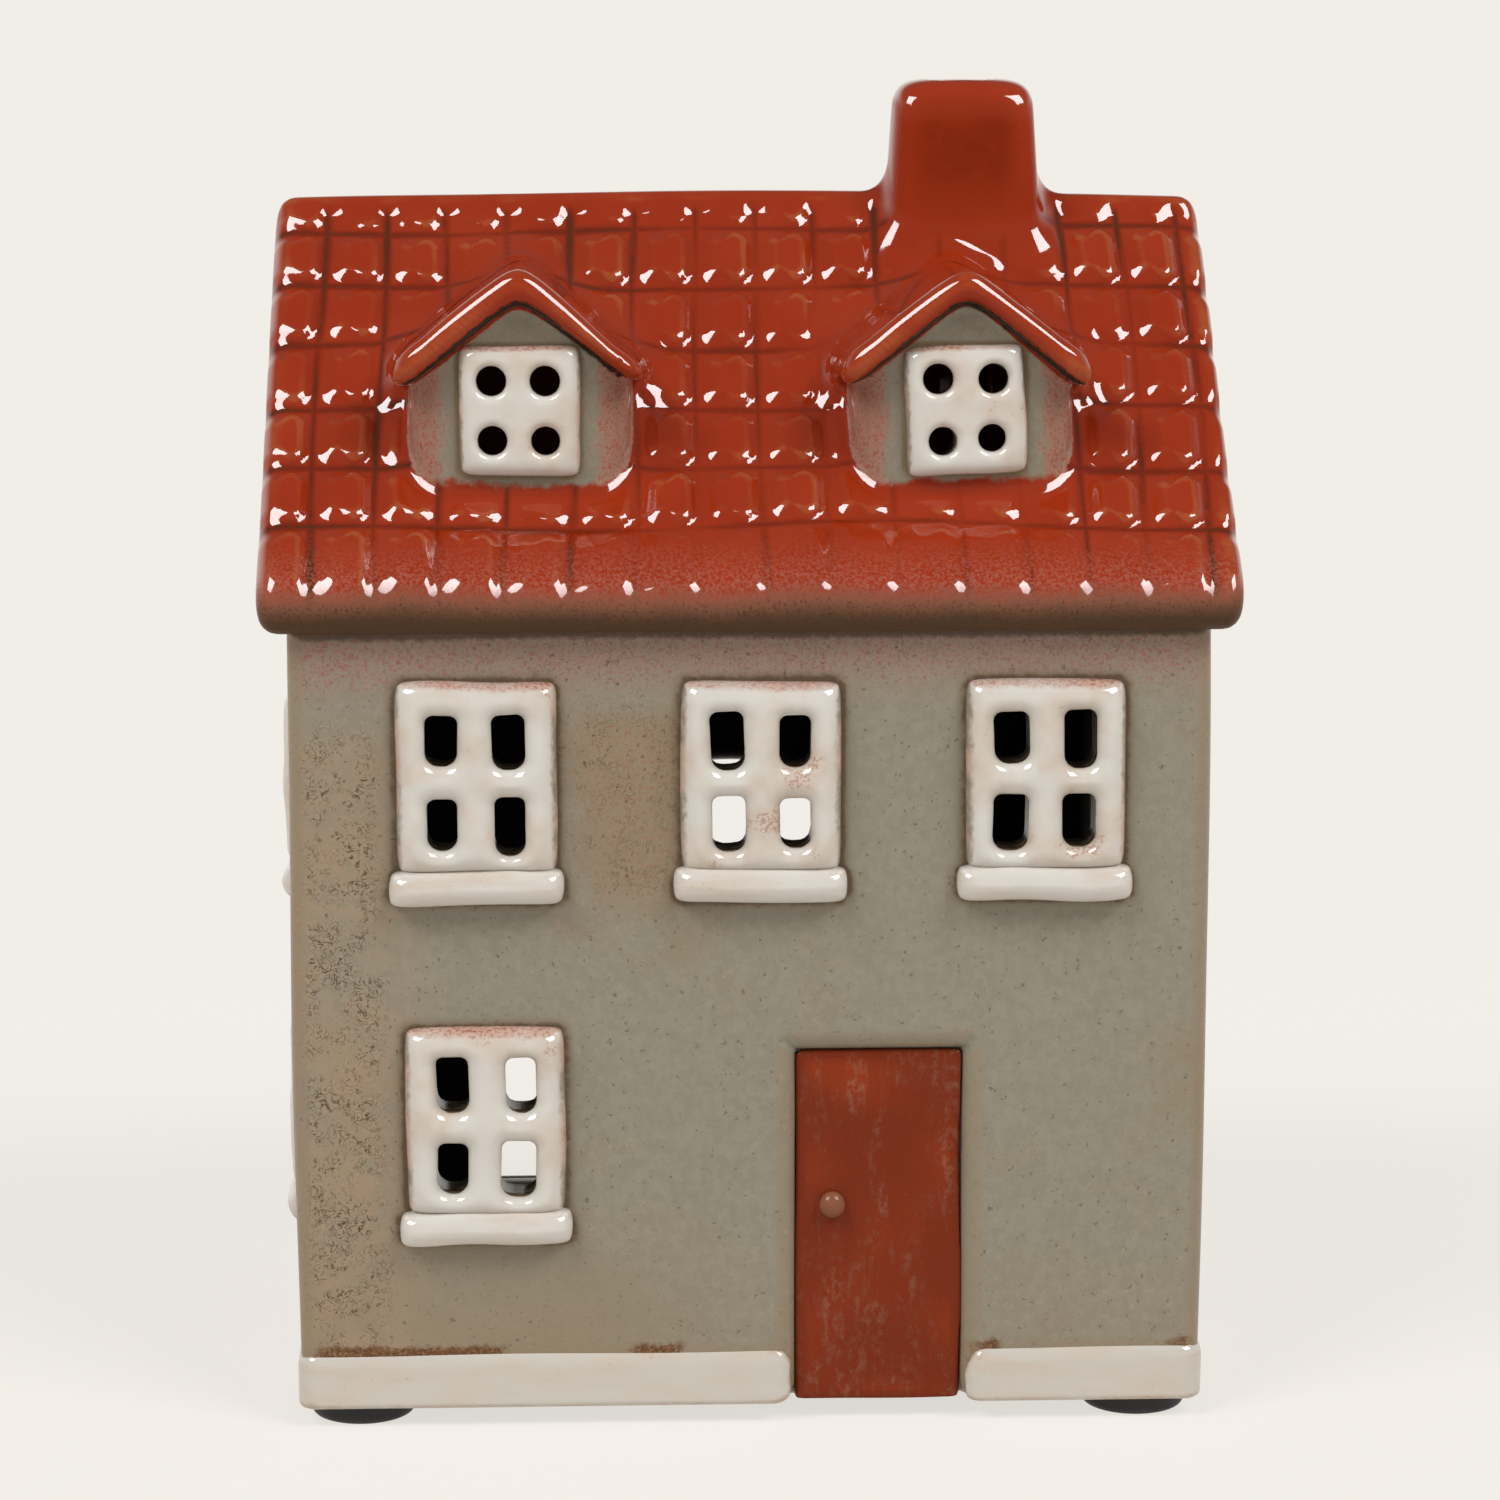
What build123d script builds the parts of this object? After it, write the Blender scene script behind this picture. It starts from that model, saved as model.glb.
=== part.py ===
from build123d import *
import os
from math import cos, radians, sin, sqrt, tan

# Tealight house: a slab-built, glazed ceramic town house that stands over a tealight.
# Millimetres. The origin lies on the table under the middle of the house.
# +X is the viewer's right, -Y is the street front with the door, +Z is up.

# Stance: four stick-on pads under the corners
foot_diameter = 12.2
foot_height = 2.2
foot_edge_radius = 0.8
foot_inset = 0.8

# Wall slabs and floor slab
wall_width = 105.0
wall_depth = 81.0
wall_height = 91.1
wall_thickness = 6.0
corner_radius = 3.0
floor_thickness = 6.0

# Roof slabs
roof_pitch = 45.0
roof_thickness = 5.7
eave_overhang = 3.5
verge_overhang = 3.5
eave_lip = 0.9
ridge_radius = 2.2

# Tile relief: lapped courses down the slope, in columns
course_count = 7
ridge_course = 6.0
course_step = 1.2
column_count = 15
groove_width = 0.9
groove_depth = 1.3

# Chimney over the ridge, with a flue down to the chamber
chimney_center = 26.8
chimney_top_width = 16.0
chimney_top_depth = 11.2
chimney_height = 14.4
chimney_flare = 1.5
chimney_corner_radius = 2.6
chimney_rim_radius = 1.6
flue_width = 8.0
flue_depth = 5.4

# Dormers on the front slope
dormer_spacing = 51.0
dormer_shift = -0.7
dormer_width = 25.0
dormer_height = 22.0
dormer_set_back = 7.5
dormer_wall = 4.0
dormer_pitch = 40.0
dormer_roof_thickness = 2.7
dormer_roof_overhang = 0.9
dormer_gable_overhang = 3.0

# Dormer window plates with round lights
plate_width = 14.0
plate_height = 15.0
plate_thickness = 2.0
plate_lift = 1.6
plate_corner_radius = 1.0
light_diameter = 3.3
light_spacing_x = 6.2
light_spacing_z = 7.0

# Wall windows: a frame with four panes over a sill
frame_width = 18.5
frame_height = 22.2
frame_thickness = 2.6
frame_corner_radius = 1.2
pane_width = 3.6
pane_height = 6.1
pane_spacing_x = 7.8
pane_spacing_z = 9.7
pane_rise = -0.5
pane_corner_radius = 0.7
sill_width = 20.3
sill_height = 3.5
sill_thickness = 3.2
sill_edge_radius = 1.0

# Window places: the upper row's middles hang below the wall tops, and the lower row lies
# about midway between the upper sills and the plinth
upper_drop = 16.4
lower_shift = -0.75
column_spacing = 32.5
column_shift = 1.1
lower_column = -30.7
side_column = -5.0
side_drop = 4.8

# Door in its recess
door_center = 14.8
door_width = 19.1
door_height = 42.2
door_thickness = 1.2
door_recess = 2.0
door_clearance = 0.15
knob_diameter = 2.8
knob_length = 1.3
knob_edge = 4.15
knob_rise = 23.9

# White plinth band round the foot of the walls
plinth_height = 7.1
plinth_seat = 1.5
plinth_proud = 0.5
plinth_edge_radius = 0.4

# Arch in the back wall, where the tealight goes in
arch_width = 64.0
arch_height = 57.6

# Tealight
cup_diameter = 38.0
cup_height = 16.0
cup_wall = 0.4
wax_height = 13.0
wax_clearance = 0.3
wick_diameter = 1.8
wick_stub = 7.0
wick_clearance = 0.05
sustainer_diameter = 12.0
sustainer_thickness = 0.4
sustainer_neck = 3.0

# Levels, planes and spans worked out from the sizes above
base_z = foot_height
floor_z = base_z + floor_thickness
crease_z = base_z + wall_height
half_width = wall_width / 2
half_depth = wall_depth / 2
eave_y = half_depth + eave_overhang
roof_length = wall_width + 2 * verge_overhang
slope = tan(radians(roof_pitch))
roof_drop = roof_thickness / cos(radians(roof_pitch))
inner_apex_z = crease_z + half_depth * slope
apex_z = inner_apex_z + roof_drop
ridge_z = apex_z - ridge_radius / cos(radians(roof_pitch)) + ridge_radius
chimney_z = ridge_z + chimney_height
far = 2 * (wall_width + wall_depth + chimney_z)
along_x = Plane(origin=(0, 0, 0), x_dir=(0, 1, 0), z_dir=(1, 0, 0))
along_y = Plane(origin=(0, 0, 0), x_dir=(1, 0, 0), z_dir=(0, -1, 0))


def block(x0, x1, y0, y1, z0, z1):
    """A box between two corners."""
    center = ((x0 + x1) / 2, (y0 + y1) / 2, (z0 + z1) / 2)
    return Pos(*center) * Box(x1 - x0, y1 - y0, z1 - z0)


def prism_x(face, x0, x1):
    """A section drawn in (y, z), drawn out from x0 to x1."""
    return Pos(x0, 0, 0) * extrude(along_x * face, x1 - x0)


def prism_y(face, y0, y1):
    """A section drawn in (x, z), drawn out from y0 to y1."""
    return Pos(0, y1, 0) * extrude(along_y * face, y1 - y0)


def polygon(points):
    return make_face(Polyline(*points, close=True))


def mirrored_y(shape):
    return mirror(shape, about=Plane.XZ)


def mirrored_x(shape):
    return mirror(shape, about=Plane.YZ)


def slope_point(distance, lift=0.0):
    """A point in (y, z) down the front slope from the sharp apex, lifted square to the slope."""
    a = radians(roof_pitch)
    return (-distance * cos(a) - lift * sin(a), apex_z - distance * sin(a) + lift * cos(a))


def roof_edge():
    """The front half of the roof's outer line, from the ridge down its courses to the eave lip."""
    a = radians(roof_pitch)
    center_z = apex_z - ridge_radius / cos(a)
    crown = ThreePointArc(
        (0, ridge_z),
        (-ridge_radius * sin(a / 2), center_z + ridge_radius * cos(a / 2)),
        (-ridge_radius * sin(a), center_z + ridge_radius * cos(a)),
    )
    slope_length = eave_y / cos(a)
    course = (slope_length - ridge_course) / (course_count - 1)
    points = [crown @ 1, slope_point(ridge_course)]
    for i in range(1, course_count):
        points.append(slope_point(ridge_course + (i - 1) * course, -course_step))
        points.append(slope_point(ridge_course + i * course))
    return crown, Polyline(*points)


def roof_slab():
    """The front slab with its courses and columns, mitred along the ridge."""
    crown, tiles = roof_edge()
    lip = tiles @ 1
    crease = (-half_depth, crease_z)
    lip_foot = (lip.X, lip.Y - eave_lip)
    cove_middle = (
        lip.X + eave_overhang * (1 - sqrt(0.5)),
        crease_z + (lip_foot[1] - crease_z) * (1 - sqrt(0.5)),
    )
    outline = [
        crown,
        tiles,
        Line(lip, lip_foot),
        ThreePointArc(lip_foot, cove_middle, crease),
        Line(crease, (0, inner_apex_z)),
        Line((0, inner_apex_z), (0, ridge_z)),
    ]
    slab = prism_x(make_face(outline), -roof_length / 2, roof_length / 2)
    return slab - column_grooves()


def column_grooves():
    """The joints between the tile columns, sunk into the front slope from the ridge to the eave."""
    top = ridge_radius * tan(radians(roof_pitch) / 2)
    bottom = eave_y / cos(radians(roof_pitch)) + eave_lip
    strip = polygon([
        slope_point(top, groove_depth),
        slope_point(bottom, groove_depth),
        slope_point(bottom, -groove_depth),
        slope_point(top, -groove_depth),
    ])
    pitch = roof_length / column_count
    grooves = []
    for i in range(1, column_count):
        x = -roof_length / 2 + i * pitch
        grooves.append(prism_x(strip, x - groove_width / 2, x + groove_width / 2))
    return grooves


def under_roof():
    """Everything below the tiled surface of both slopes."""
    crown, tiles = roof_edge()
    lip = tiles @ 1
    outline = [
        crown,
        tiles,
        Line(lip, (lip.X, base_z)),
        Line((lip.X, base_z), (0, base_z)),
        Line((0, base_z), (0, ridge_z)),
    ]
    front = prism_x(make_face(outline), -roof_length / 2, roof_length / 2)
    return front + mirrored_y(front)


def under_slabs():
    """Everything below the inner planes of the roof slabs."""
    low = crease_z - eave_overhang * slope
    section = polygon([
        (-eave_y, base_z), (-eave_y, low), (0, inner_apex_z), (eave_y, low), (eave_y, base_z),
    ])
    return prism_x(section, -roof_length / 2, roof_length / 2)


def window_places():
    """Name, wall, place along the wall and height of each wall window's middle."""
    upper = crease_z - upper_drop
    upper_sill_z = upper - frame_height / 2 - sill_height
    lower = (upper_sill_z + base_z + plinth_height + sill_height) / 2 + lower_shift
    places = [
        (f"front_upper_{side}", "front", column_shift + i * column_spacing, upper)
        for side, i in (("left", -1), ("middle", 0), ("right", 1))
    ]
    places.append(("front_lower_left", "front", lower_column, lower))
    for wall in ("left", "right"):
        places.append((f"{wall}_upper", wall, side_column, upper - side_drop))
        places.append((f"{wall}_lower", wall, side_column, lower - side_drop))
    return places


def on_wall(wall, place, height):
    """Where a window's own frame lies: its X along the wall, its Y up, its Z out of the wall."""
    if wall == "front":
        return Plane(origin=(place, -half_depth, height), x_dir=(1, 0, 0), z_dir=(0, -1, 0))
    if wall == "left":
        return Plane(origin=(-half_width, place, height), x_dir=(0, -1, 0), z_dir=(-1, 0, 0))
    return Plane(origin=(half_width, place, height), x_dir=(0, 1, 0), z_dir=(1, 0, 0))


def panes():
    """The four panes of a window, drawn about the middle of its frame."""
    pane = RectangleRounded(pane_width, pane_height, pane_corner_radius)
    return [
        Pos(i * pane_spacing_x / 2, pane_rise + j * pane_spacing_z / 2) * pane
        for i in (-1, 1)
        for j in (-1, 1)
    ]


def pane_holes():
    """The panes drawn right through a frame and the wall behind it."""
    reach = wall_thickness + frame_thickness
    return [extrude(pane, reach, both=True) for pane in panes()]


def window_frame():
    face = RectangleRounded(frame_width, frame_height, frame_corner_radius)
    frame = extrude(face, frame_thickness)
    frame = fillet(frame.faces().sort_by(Axis.Z)[-1].edges(), frame_corner_radius / 2)
    return frame - pane_holes()


def window_sill():
    """The sill strip under a frame, set against the wall."""
    middle = -frame_height / 2 - sill_height / 2
    sill = Pos(0, middle, sill_thickness / 2) * Box(sill_width, sill_height, sill_thickness)
    return fillet(sill.faces().sort_by(Axis.Z)[-1].edges(), sill_edge_radius)


def wall_blank(sign):
    """The front (-1) or back (+1) wall slab, its top bevelled to the roof slab above it."""
    section = polygon([
        (sign * half_depth, base_z),
        (sign * half_depth, crease_z),
        (sign * (half_depth - wall_thickness), crease_z + wall_thickness * slope),
        (sign * (half_depth - wall_thickness), base_z),
    ])
    wall = prism_x(section, -half_width, half_width)
    corners = wall.edges().filter_by(Axis.Z).group_by(SortBy.LENGTH)[0]
    return fillet(corners, corner_radius)


def gable_wall():
    """The left wall slab with its gable, fitted between the front and back walls."""
    y = half_depth - wall_thickness
    shoulder = crease_z + wall_thickness * slope
    section = polygon([(-y, base_z), (-y, shoulder), (0, inner_apex_z), (y, shoulder), (y, base_z)])
    return prism_x(section, -half_width, -half_width + wall_thickness)


def wall_panes(wall):
    """Every pane hole of one wall, where it lies."""
    return [
        on_wall(wall, place, height) * hole
        for _, name, place, height in window_places()
        if name == wall
        for hole in pane_holes()
    ]


def door_space():
    """The door recess, sunk into the front wall up from its underside."""
    return block(
        door_center - door_width / 2, door_center + door_width / 2,
        -half_depth, -half_depth + door_recess, base_z, base_z + door_height,
    )


def arch_space():
    """The arched way through the back wall, from the floor up."""
    radius = arch_width / 2
    spring = floor_z + arch_height - radius
    outline = [
        Line((-radius, floor_z), (radius, floor_z)),
        Line((radius, floor_z), (radius, spring)),
        ThreePointArc((radius, spring), (0, spring + radius), (-radius, spring)),
        Line((-radius, spring), (-radius, floor_z)),
    ]
    return prism_y(make_face(outline), half_depth - wall_thickness, half_depth + plinth_proud)


def plinth_ring():
    """The whole band round the walls, let into them by its seat."""
    outer = RectangleRounded(
        wall_width + 2 * plinth_proud, wall_depth + 2 * plinth_proud, corner_radius + plinth_proud
    )
    inner = RectangleRounded(
        wall_width - 2 * plinth_seat, wall_depth - 2 * plinth_seat, corner_radius - plinth_seat
    )
    band = extrude(outer, plinth_height)
    band = fillet(band.faces().sort_by(Axis.Z)[-1].edges(), plinth_edge_radius)
    return Pos(0, 0, base_z) * (band - extrude(inner, plinth_height))


def plinth_strips():
    """The band cut into the strips that were laid on: beside the door, along the sides, at the back."""
    ring = plinth_ring()
    turn = half_depth - corner_radius
    door_left = door_center - door_width / 2
    door_right = door_center + door_width / 2
    top = base_z + plinth_height
    spans = {
        "plinth_front_left": (-far, door_left, -far, -turn),
        "plinth_front_right": (door_right, far, -far, -turn),
        "plinth_left": (-far, 0, -turn, turn),
        "plinth_right": (0, far, -turn, turn),
        "plinth_back": (-far, far, turn, far),
    }
    strips = {name: ring & block(*span, base_z, top) for name, span in spans.items()}
    strips["plinth_back"] = strips["plinth_back"] - arch_space()
    return strips


def dormer_places():
    """Name and middle of each dormer across the front slope."""
    return (
        ("left", dormer_shift - dormer_spacing / 2),
        ("right", dormer_shift + dormer_spacing / 2),
    )


dormer_y = -half_depth + dormer_set_back
dormer_foot_z = apex_z + dormer_y * slope
dormer_apex_z = dormer_foot_z + dormer_height
dormer_slope = tan(radians(dormer_pitch))
dormer_drop = dormer_roof_thickness / cos(radians(dormer_pitch))


def gable_section(half, peak):
    """A gabled section about x = 0, from the underside of the walls up to its peak."""
    eave = peak - half * dormer_slope
    return polygon([(-half, base_z), (-half, eave), (0, peak), (half, eave), (half, base_z)])


def dormer_envelope():
    """The whole space that a dormer's walls enclose, run back to the ridge."""
    return prism_y(gable_section(dormer_width / 2, dormer_apex_z), dormer_y, 0)


def light_holes():
    """The four round lights of a dormer, drilled through its plate and its front wall."""
    middle = plate_middle()
    reach = plate_thickness + dormer_wall
    drill = Rot(90, 0, 0) * Cylinder(light_diameter / 2, 2 * reach)
    return [
        Pos(i * light_spacing_x / 2, dormer_y, middle + j * light_spacing_z / 2) * drill
        for i in (-1, 1)
        for j in (-1, 1)
    ]


def plate_middle():
    return dormer_foot_z + plate_lift + plate_height / 2


def dormer_body():
    """Front wall, cheeks and ceiling of a dormer, open down into the roof space."""
    ceiling = dormer_wall / cos(radians(dormer_pitch))
    hollow = prism_y(
        gable_section(dormer_width / 2 - dormer_wall, dormer_apex_z - ceiling), dormer_y + dormer_wall, 0
    )
    return dormer_envelope() - hollow - under_slabs() - light_holes()


def dormer_roof():
    """The folded roof of a dormer, run back until it dies into the tiles."""
    half = dormer_width / 2 + dormer_roof_overhang
    eave = dormer_apex_z - half * dormer_slope
    section = polygon([
        (-half, eave), (0, dormer_apex_z), (half, eave),
        (half, eave + dormer_drop), (0, dormer_apex_z + dormer_drop), (-half, eave + dormer_drop),
    ])
    return prism_y(section, dormer_y - dormer_gable_overhang, 0) - under_roof()


def dormer_plate():
    face = RectangleRounded(plate_width, plate_height, plate_corner_radius)
    plate = extrude(face, plate_thickness)
    plate = fillet(plate.faces().sort_by(Axis.Z)[-1].edges(), plate_corner_radius / 2)
    place = Plane(origin=(0, dormer_y, plate_middle()), x_dir=(1, 0, 0), z_dir=(0, -1, 0))
    return place * plate - light_holes()


def flue_space():
    """The flue, from the chimney's top down into the roof space."""
    flue = extrude(RectangleRounded(flue_width, flue_depth, flue_depth / 4), chimney_z)
    return Pos(chimney_center, 0, 0) * flue


def chimney():
    """A tapered stack that straddles the ridge and is cut to the tiles under it."""
    slope_foot = apex_z - (chimney_top_depth / 2 + 2 * chimney_flare) * slope
    height = chimney_z - slope_foot
    top = Pos(0, 0, height) * RectangleRounded(chimney_top_width, chimney_top_depth, chimney_corner_radius)
    foot = RectangleRounded(
        chimney_top_width + 2 * chimney_flare, chimney_top_depth + 2 * chimney_flare, chimney_corner_radius
    )
    stack = loft([foot, top])
    stack = fillet(stack.faces().sort_by(Axis.Z)[-1].edges(), chimney_rim_radius)
    return Pos(chimney_center, 0, slope_foot) * stack - under_roof() - flue_space()


def foot():
    pad = Pos(0, 0, foot_height / 2) * Cylinder(foot_diameter / 2, foot_height)
    return fillet(pad.faces().sort_by(Axis.Z)[0].edges(), foot_edge_radius)


def disc(diameter, z0, z1):
    return Pos(0, 0, (z0 + z1) / 2) * Cylinder(diameter / 2, z1 - z0)


def tealight():
    """Cup, wax cake, wick and its metal foot, standing on the floor in the middle of the chamber."""
    cup_floor = floor_z + cup_wall
    cup_bore = cup_diameter - 2 * cup_wall
    foot_top = cup_floor + sustainer_thickness
    neck_top = foot_top + sustainer_neck
    neck_diameter = wick_diameter + 4 * cup_wall
    wax_top = cup_floor + wax_height
    wick_bore = disc(wick_diameter + 2 * wick_clearance, foot_top, wax_top)
    cup = disc(cup_diameter, floor_z, floor_z + cup_height)
    cup = cup - disc(cup_bore, cup_floor, floor_z + cup_height)
    metal_foot = disc(sustainer_diameter, cup_floor, foot_top) + disc(neck_diameter, foot_top, neck_top)
    metal_foot = metal_foot - wick_bore
    wax = disc(cup_bore - 2 * wax_clearance, cup_floor, wax_top)
    wax = wax - disc(sustainer_diameter, cup_floor, foot_top)
    wax = wax - disc(neck_diameter, foot_top, neck_top) - wick_bore
    wick = disc(wick_diameter, foot_top, wax_top + wick_stub)
    return {
        "tealight_cup": cup,
        "tealight_wax": wax,
        "tealight_wick": wick,
        "tealight_wick_foot": metal_foot,
    }


nodes = {}

# Floor and walls
inner_x = half_width - wall_thickness
inner_y = half_depth - wall_thickness
strips = plinth_strips()
nodes["floor_slab"] = block(-inner_x, inner_x, -inner_y, inner_y, base_z, floor_z)
nodes["front_wall"] = wall_blank(-1) - door_space() - wall_panes("front")
nodes["back_wall"] = wall_blank(1) - arch_space()
nodes["left_wall"] = gable_wall() - wall_panes("left")
nodes["right_wall"] = mirrored_x(gable_wall()) - wall_panes("right")
for wall in ("front_wall", "back_wall", "left_wall", "right_wall"):
    nodes[wall] = nodes[wall] - list(strips.values())
nodes.update(strips)

# Roof, dormers and chimney
roof_front = roof_slab()
stack = chimney()
nodes["roof_back"] = mirrored_y(roof_front) - flue_space()
for side, x in dormer_places():
    roof_front = roof_front - Pos(x, 0, 0) * dormer_envelope()
    nodes[f"dormer_{side}_body"] = Pos(x, 0, 0) * dormer_body()
    nodes[f"dormer_{side}_roof"] = Pos(x, 0, 0) * dormer_roof() - stack
    nodes[f"dormer_{side}_window"] = Pos(x, 0, 0) * dormer_plate()
nodes["roof_front"] = roof_front - flue_space()
nodes["chimney"] = stack

# Windows
for name, wall, place, height in window_places():
    spot = on_wall(wall, place, height)
    nodes[f"window_{name}"] = spot * window_frame()
    nodes[f"sill_{name}"] = spot * window_sill()

# Door
door_y = -half_depth + door_recess - door_thickness
nodes["door_panel"] = block(
    door_center - door_width / 2 + door_clearance, door_center + door_width / 2 - door_clearance,
    door_y, -half_depth + door_recess, base_z, base_z + door_height - door_clearance,
)
knob = extrude(Circle(knob_diameter / 2), knob_length)
knob = fillet(knob.faces().sort_by(Axis.Z)[-1].edges(), knob_diameter / 3)
knob_place = (door_center - door_width / 2 + knob_edge, door_y, base_z + knob_rise)
nodes["door_knob"] = Plane(origin=knob_place, x_dir=(1, 0, 0), z_dir=(0, -1, 0)) * knob

# Feet
foot_x = half_width - foot_inset - foot_diameter / 2
foot_y = half_depth - foot_inset - foot_diameter / 2
for depth_name, y in (("front", -foot_y), ("back", foot_y)):
    for side, x in (("left", -foot_x), ("right", foot_x)):
        nodes[f"foot_{depth_name}_{side}"] = Pos(x, y, 0) * foot()

nodes.update(tealight())

os.makedirs("parts", exist_ok=True)
for name, shape in nodes.items():
    export_step(shape, f"parts/{name}.step")
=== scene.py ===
"""Tealight house: the glazed clay of a small town house, dressed over its CAD frame.

Forms are written as clay fields: a field gives how far a point lies outside the clay, in
millimetres, so pieces can be rounded, joined and hollowed softly. A net of quads is then laid
where a field is zero. The frame and the finished meshes are in metres.
"""
import math
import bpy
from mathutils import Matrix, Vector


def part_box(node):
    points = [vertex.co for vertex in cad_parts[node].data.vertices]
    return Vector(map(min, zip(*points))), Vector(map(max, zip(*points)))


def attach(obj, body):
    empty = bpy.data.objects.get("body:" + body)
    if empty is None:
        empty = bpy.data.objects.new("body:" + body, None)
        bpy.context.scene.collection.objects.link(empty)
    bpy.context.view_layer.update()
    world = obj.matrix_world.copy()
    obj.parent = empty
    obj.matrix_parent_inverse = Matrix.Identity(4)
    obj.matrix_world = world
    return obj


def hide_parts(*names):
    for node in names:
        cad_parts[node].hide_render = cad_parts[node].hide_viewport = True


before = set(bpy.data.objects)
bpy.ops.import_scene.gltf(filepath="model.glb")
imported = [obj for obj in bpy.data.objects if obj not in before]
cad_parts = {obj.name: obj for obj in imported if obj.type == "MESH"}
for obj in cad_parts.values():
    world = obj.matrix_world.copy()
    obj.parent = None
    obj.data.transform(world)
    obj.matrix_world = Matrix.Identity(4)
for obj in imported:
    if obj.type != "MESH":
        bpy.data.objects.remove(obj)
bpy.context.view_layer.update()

from types import SimpleNamespace

import bmesh
import bpy
import numpy as np
from bpy.props import FloatProperty, FloatVectorProperty, IntProperty, PointerProperty
from mathutils import Vector

bl_info = {
    "name": "Tealight house",
    "version": (1, 0, 0),
    "blender": (4, 5, 0),
    "location": "3D View > Sidebar > Tealight house",
    "description": "Dresses the frame of a ceramic tealight house with its clay, glazes and stage",
    "category": "Object",
}

MM = 1000.0
HOUSE_BODY = "house"
TEALIGHT_BODY = "tealight"
WINDOWS = (
    "front_upper_left", "front_upper_middle", "front_upper_right", "front_lower_left",
    "left_upper", "left_lower", "right_upper", "right_lower",
)
DORMERS = ("left", "right")
PLINTHS = ("plinth_front_left", "plinth_front_right", "plinth_left", "plinth_right", "plinth_back")
FEET = ("foot_front_left", "foot_front_right", "foot_back_left", "foot_back_right")
FRONT = ((1, 0, 0), (0, 0, 1), (0, -1, 0))  # right, up and outward on the front of the house
FAR = 1e3  # millimetres, further than anything on the house
SUNK = 0.8  # millimetres that a pressed-on piece reaches into the clay behind it
SKIN_MARGIN = 0.03  # millimetres that keep the roof's net inside the CAD box
ARCH_HALF_WIDTH = 32.0
ARCH_SPRING_Z = 33.8


# Places read from the frame, in millimetres

def corners(node):
    """Lowest and highest corner of a CAD node."""
    low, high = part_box(node)
    return np.array(low) * MM, np.array(high) * MM


def middle(node):
    """Centre of a CAD node's box."""
    low, high = corners(node)
    return (low + high) / 2


def measure_house():
    """The levels and spans that the pieces share."""
    front_low, front_high = corners("front_wall")
    left_low, left_high = corners("left_wall")
    roof_low, roof_high = corners("roof_front")
    house = SimpleNamespace()
    house.base_z = left_low[2]
    house.half_width = -left_low[0]
    house.half_depth = -front_low[1]
    house.inner_x = -left_high[0]
    house.inner_y = -front_high[1]
    house.crease_z = roof_low[2]
    house.inner_apex_z = left_high[2]
    house.verge_x = roof_high[0]
    house.eave_y = -roof_low[1]
    house.floor_z = corners("floor_slab")[1][2]
    house.plinth_z = corners("plinth_left")[1][2]
    house.pitch = math.atan2(house.inner_apex_z - house.crease_z, house.half_depth)
    return house


HOUSE = measure_house()


# Sizes and colours that a user would change

def length(name, description, default):
    return FloatProperty(name=name, description=description, default=default, unit="LENGTH", precision=5)


def angle(name, description, degrees):
    return FloatProperty(name=name, description=description, default=math.radians(degrees), subtype="ANGLE")


def colour(name, description, default):
    return FloatVectorProperty(
        name=name, description=description, default=default, subtype="COLOR", size=3, min=0.0, max=1.0
    )


class TileSizes(bpy.types.PropertyGroup):
    """The roof slabs and the tiles pressed into them."""
    thickness: length("Slab thickness", "Roof slab from its underside to the tiles' crowns", 0.0057)
    courses: IntProperty(name="Courses", description="Rows of tiles on one slope", default=7, min=2)
    width: length("Tile width", "Tiles apart along the roof", 0.00733)
    first: length("First tile", "Width of the tile at the left verge", 0.0064)
    ridge_course: length("Ridge course", "Length of the top row down the slope", 0.006)
    eave_band: length("Eave band", "Plain clay below the last row", 0.0013)
    depth: length("Groove depth", "How far the grooves lie below a tile's crown", 0.00088)
    shoulder: length("Tile shoulder", "How far a tile's left side rounds off", 0.0029)
    lip: length("Tile lip", "How far a tile's right side rounds off", 0.0017)
    corner: length("Tile corner", "Corner radius of a tile", 0.0027)
    flare: length("Eave flare", "How far the last course lifts towards the eave", 0.0008)
    ridge_round: length("Ridge rounding", "How far the ridge is rounded over", 0.0009)
    bow: length("Ridge bow", "How far the ridge rises along the middle of the roof", 0.0009)


class ClaySizes(bpy.types.PropertyGroup):
    """How soft the clay's edges are, and how fine its nets."""
    roof_cell: length("Roof net", "Quad size of the roof's net", 0.00056)
    wall_cell: length("Wall net", "Quad size of the walls' net", 0.0009)
    trim_cell: length("Trim net", "Quad size of windows, sills, door and plinth", 0.00042)
    dormer_thickness: length("Dormer roof", "Thickness of a dormer's folded roof", 0.0027)
    dormer_wall: length("Dormer wall", "Thickness of a dormer's walls", 0.004)
    dormer_pitch: angle("Dormer pitch", "Slope of a dormer's roof", 40)
    pane_width: length("Pane width", "Width of a window pane", 0.0036)
    pane_height: length("Pane height", "Height of a window pane", 0.0061)
    pane_step: length("Pane step", "Panes apart across a window", 0.0078)
    pane_rise: length("Pane rise", "Panes apart up a window", 0.0097)
    light: length("Light diameter", "Round lights of a dormer window", 0.0033)
    light_step: length("Light step", "Lights apart across a dormer window", 0.0062)
    light_rise: length("Light rise", "Lights apart up a dormer window", 0.0070)


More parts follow.
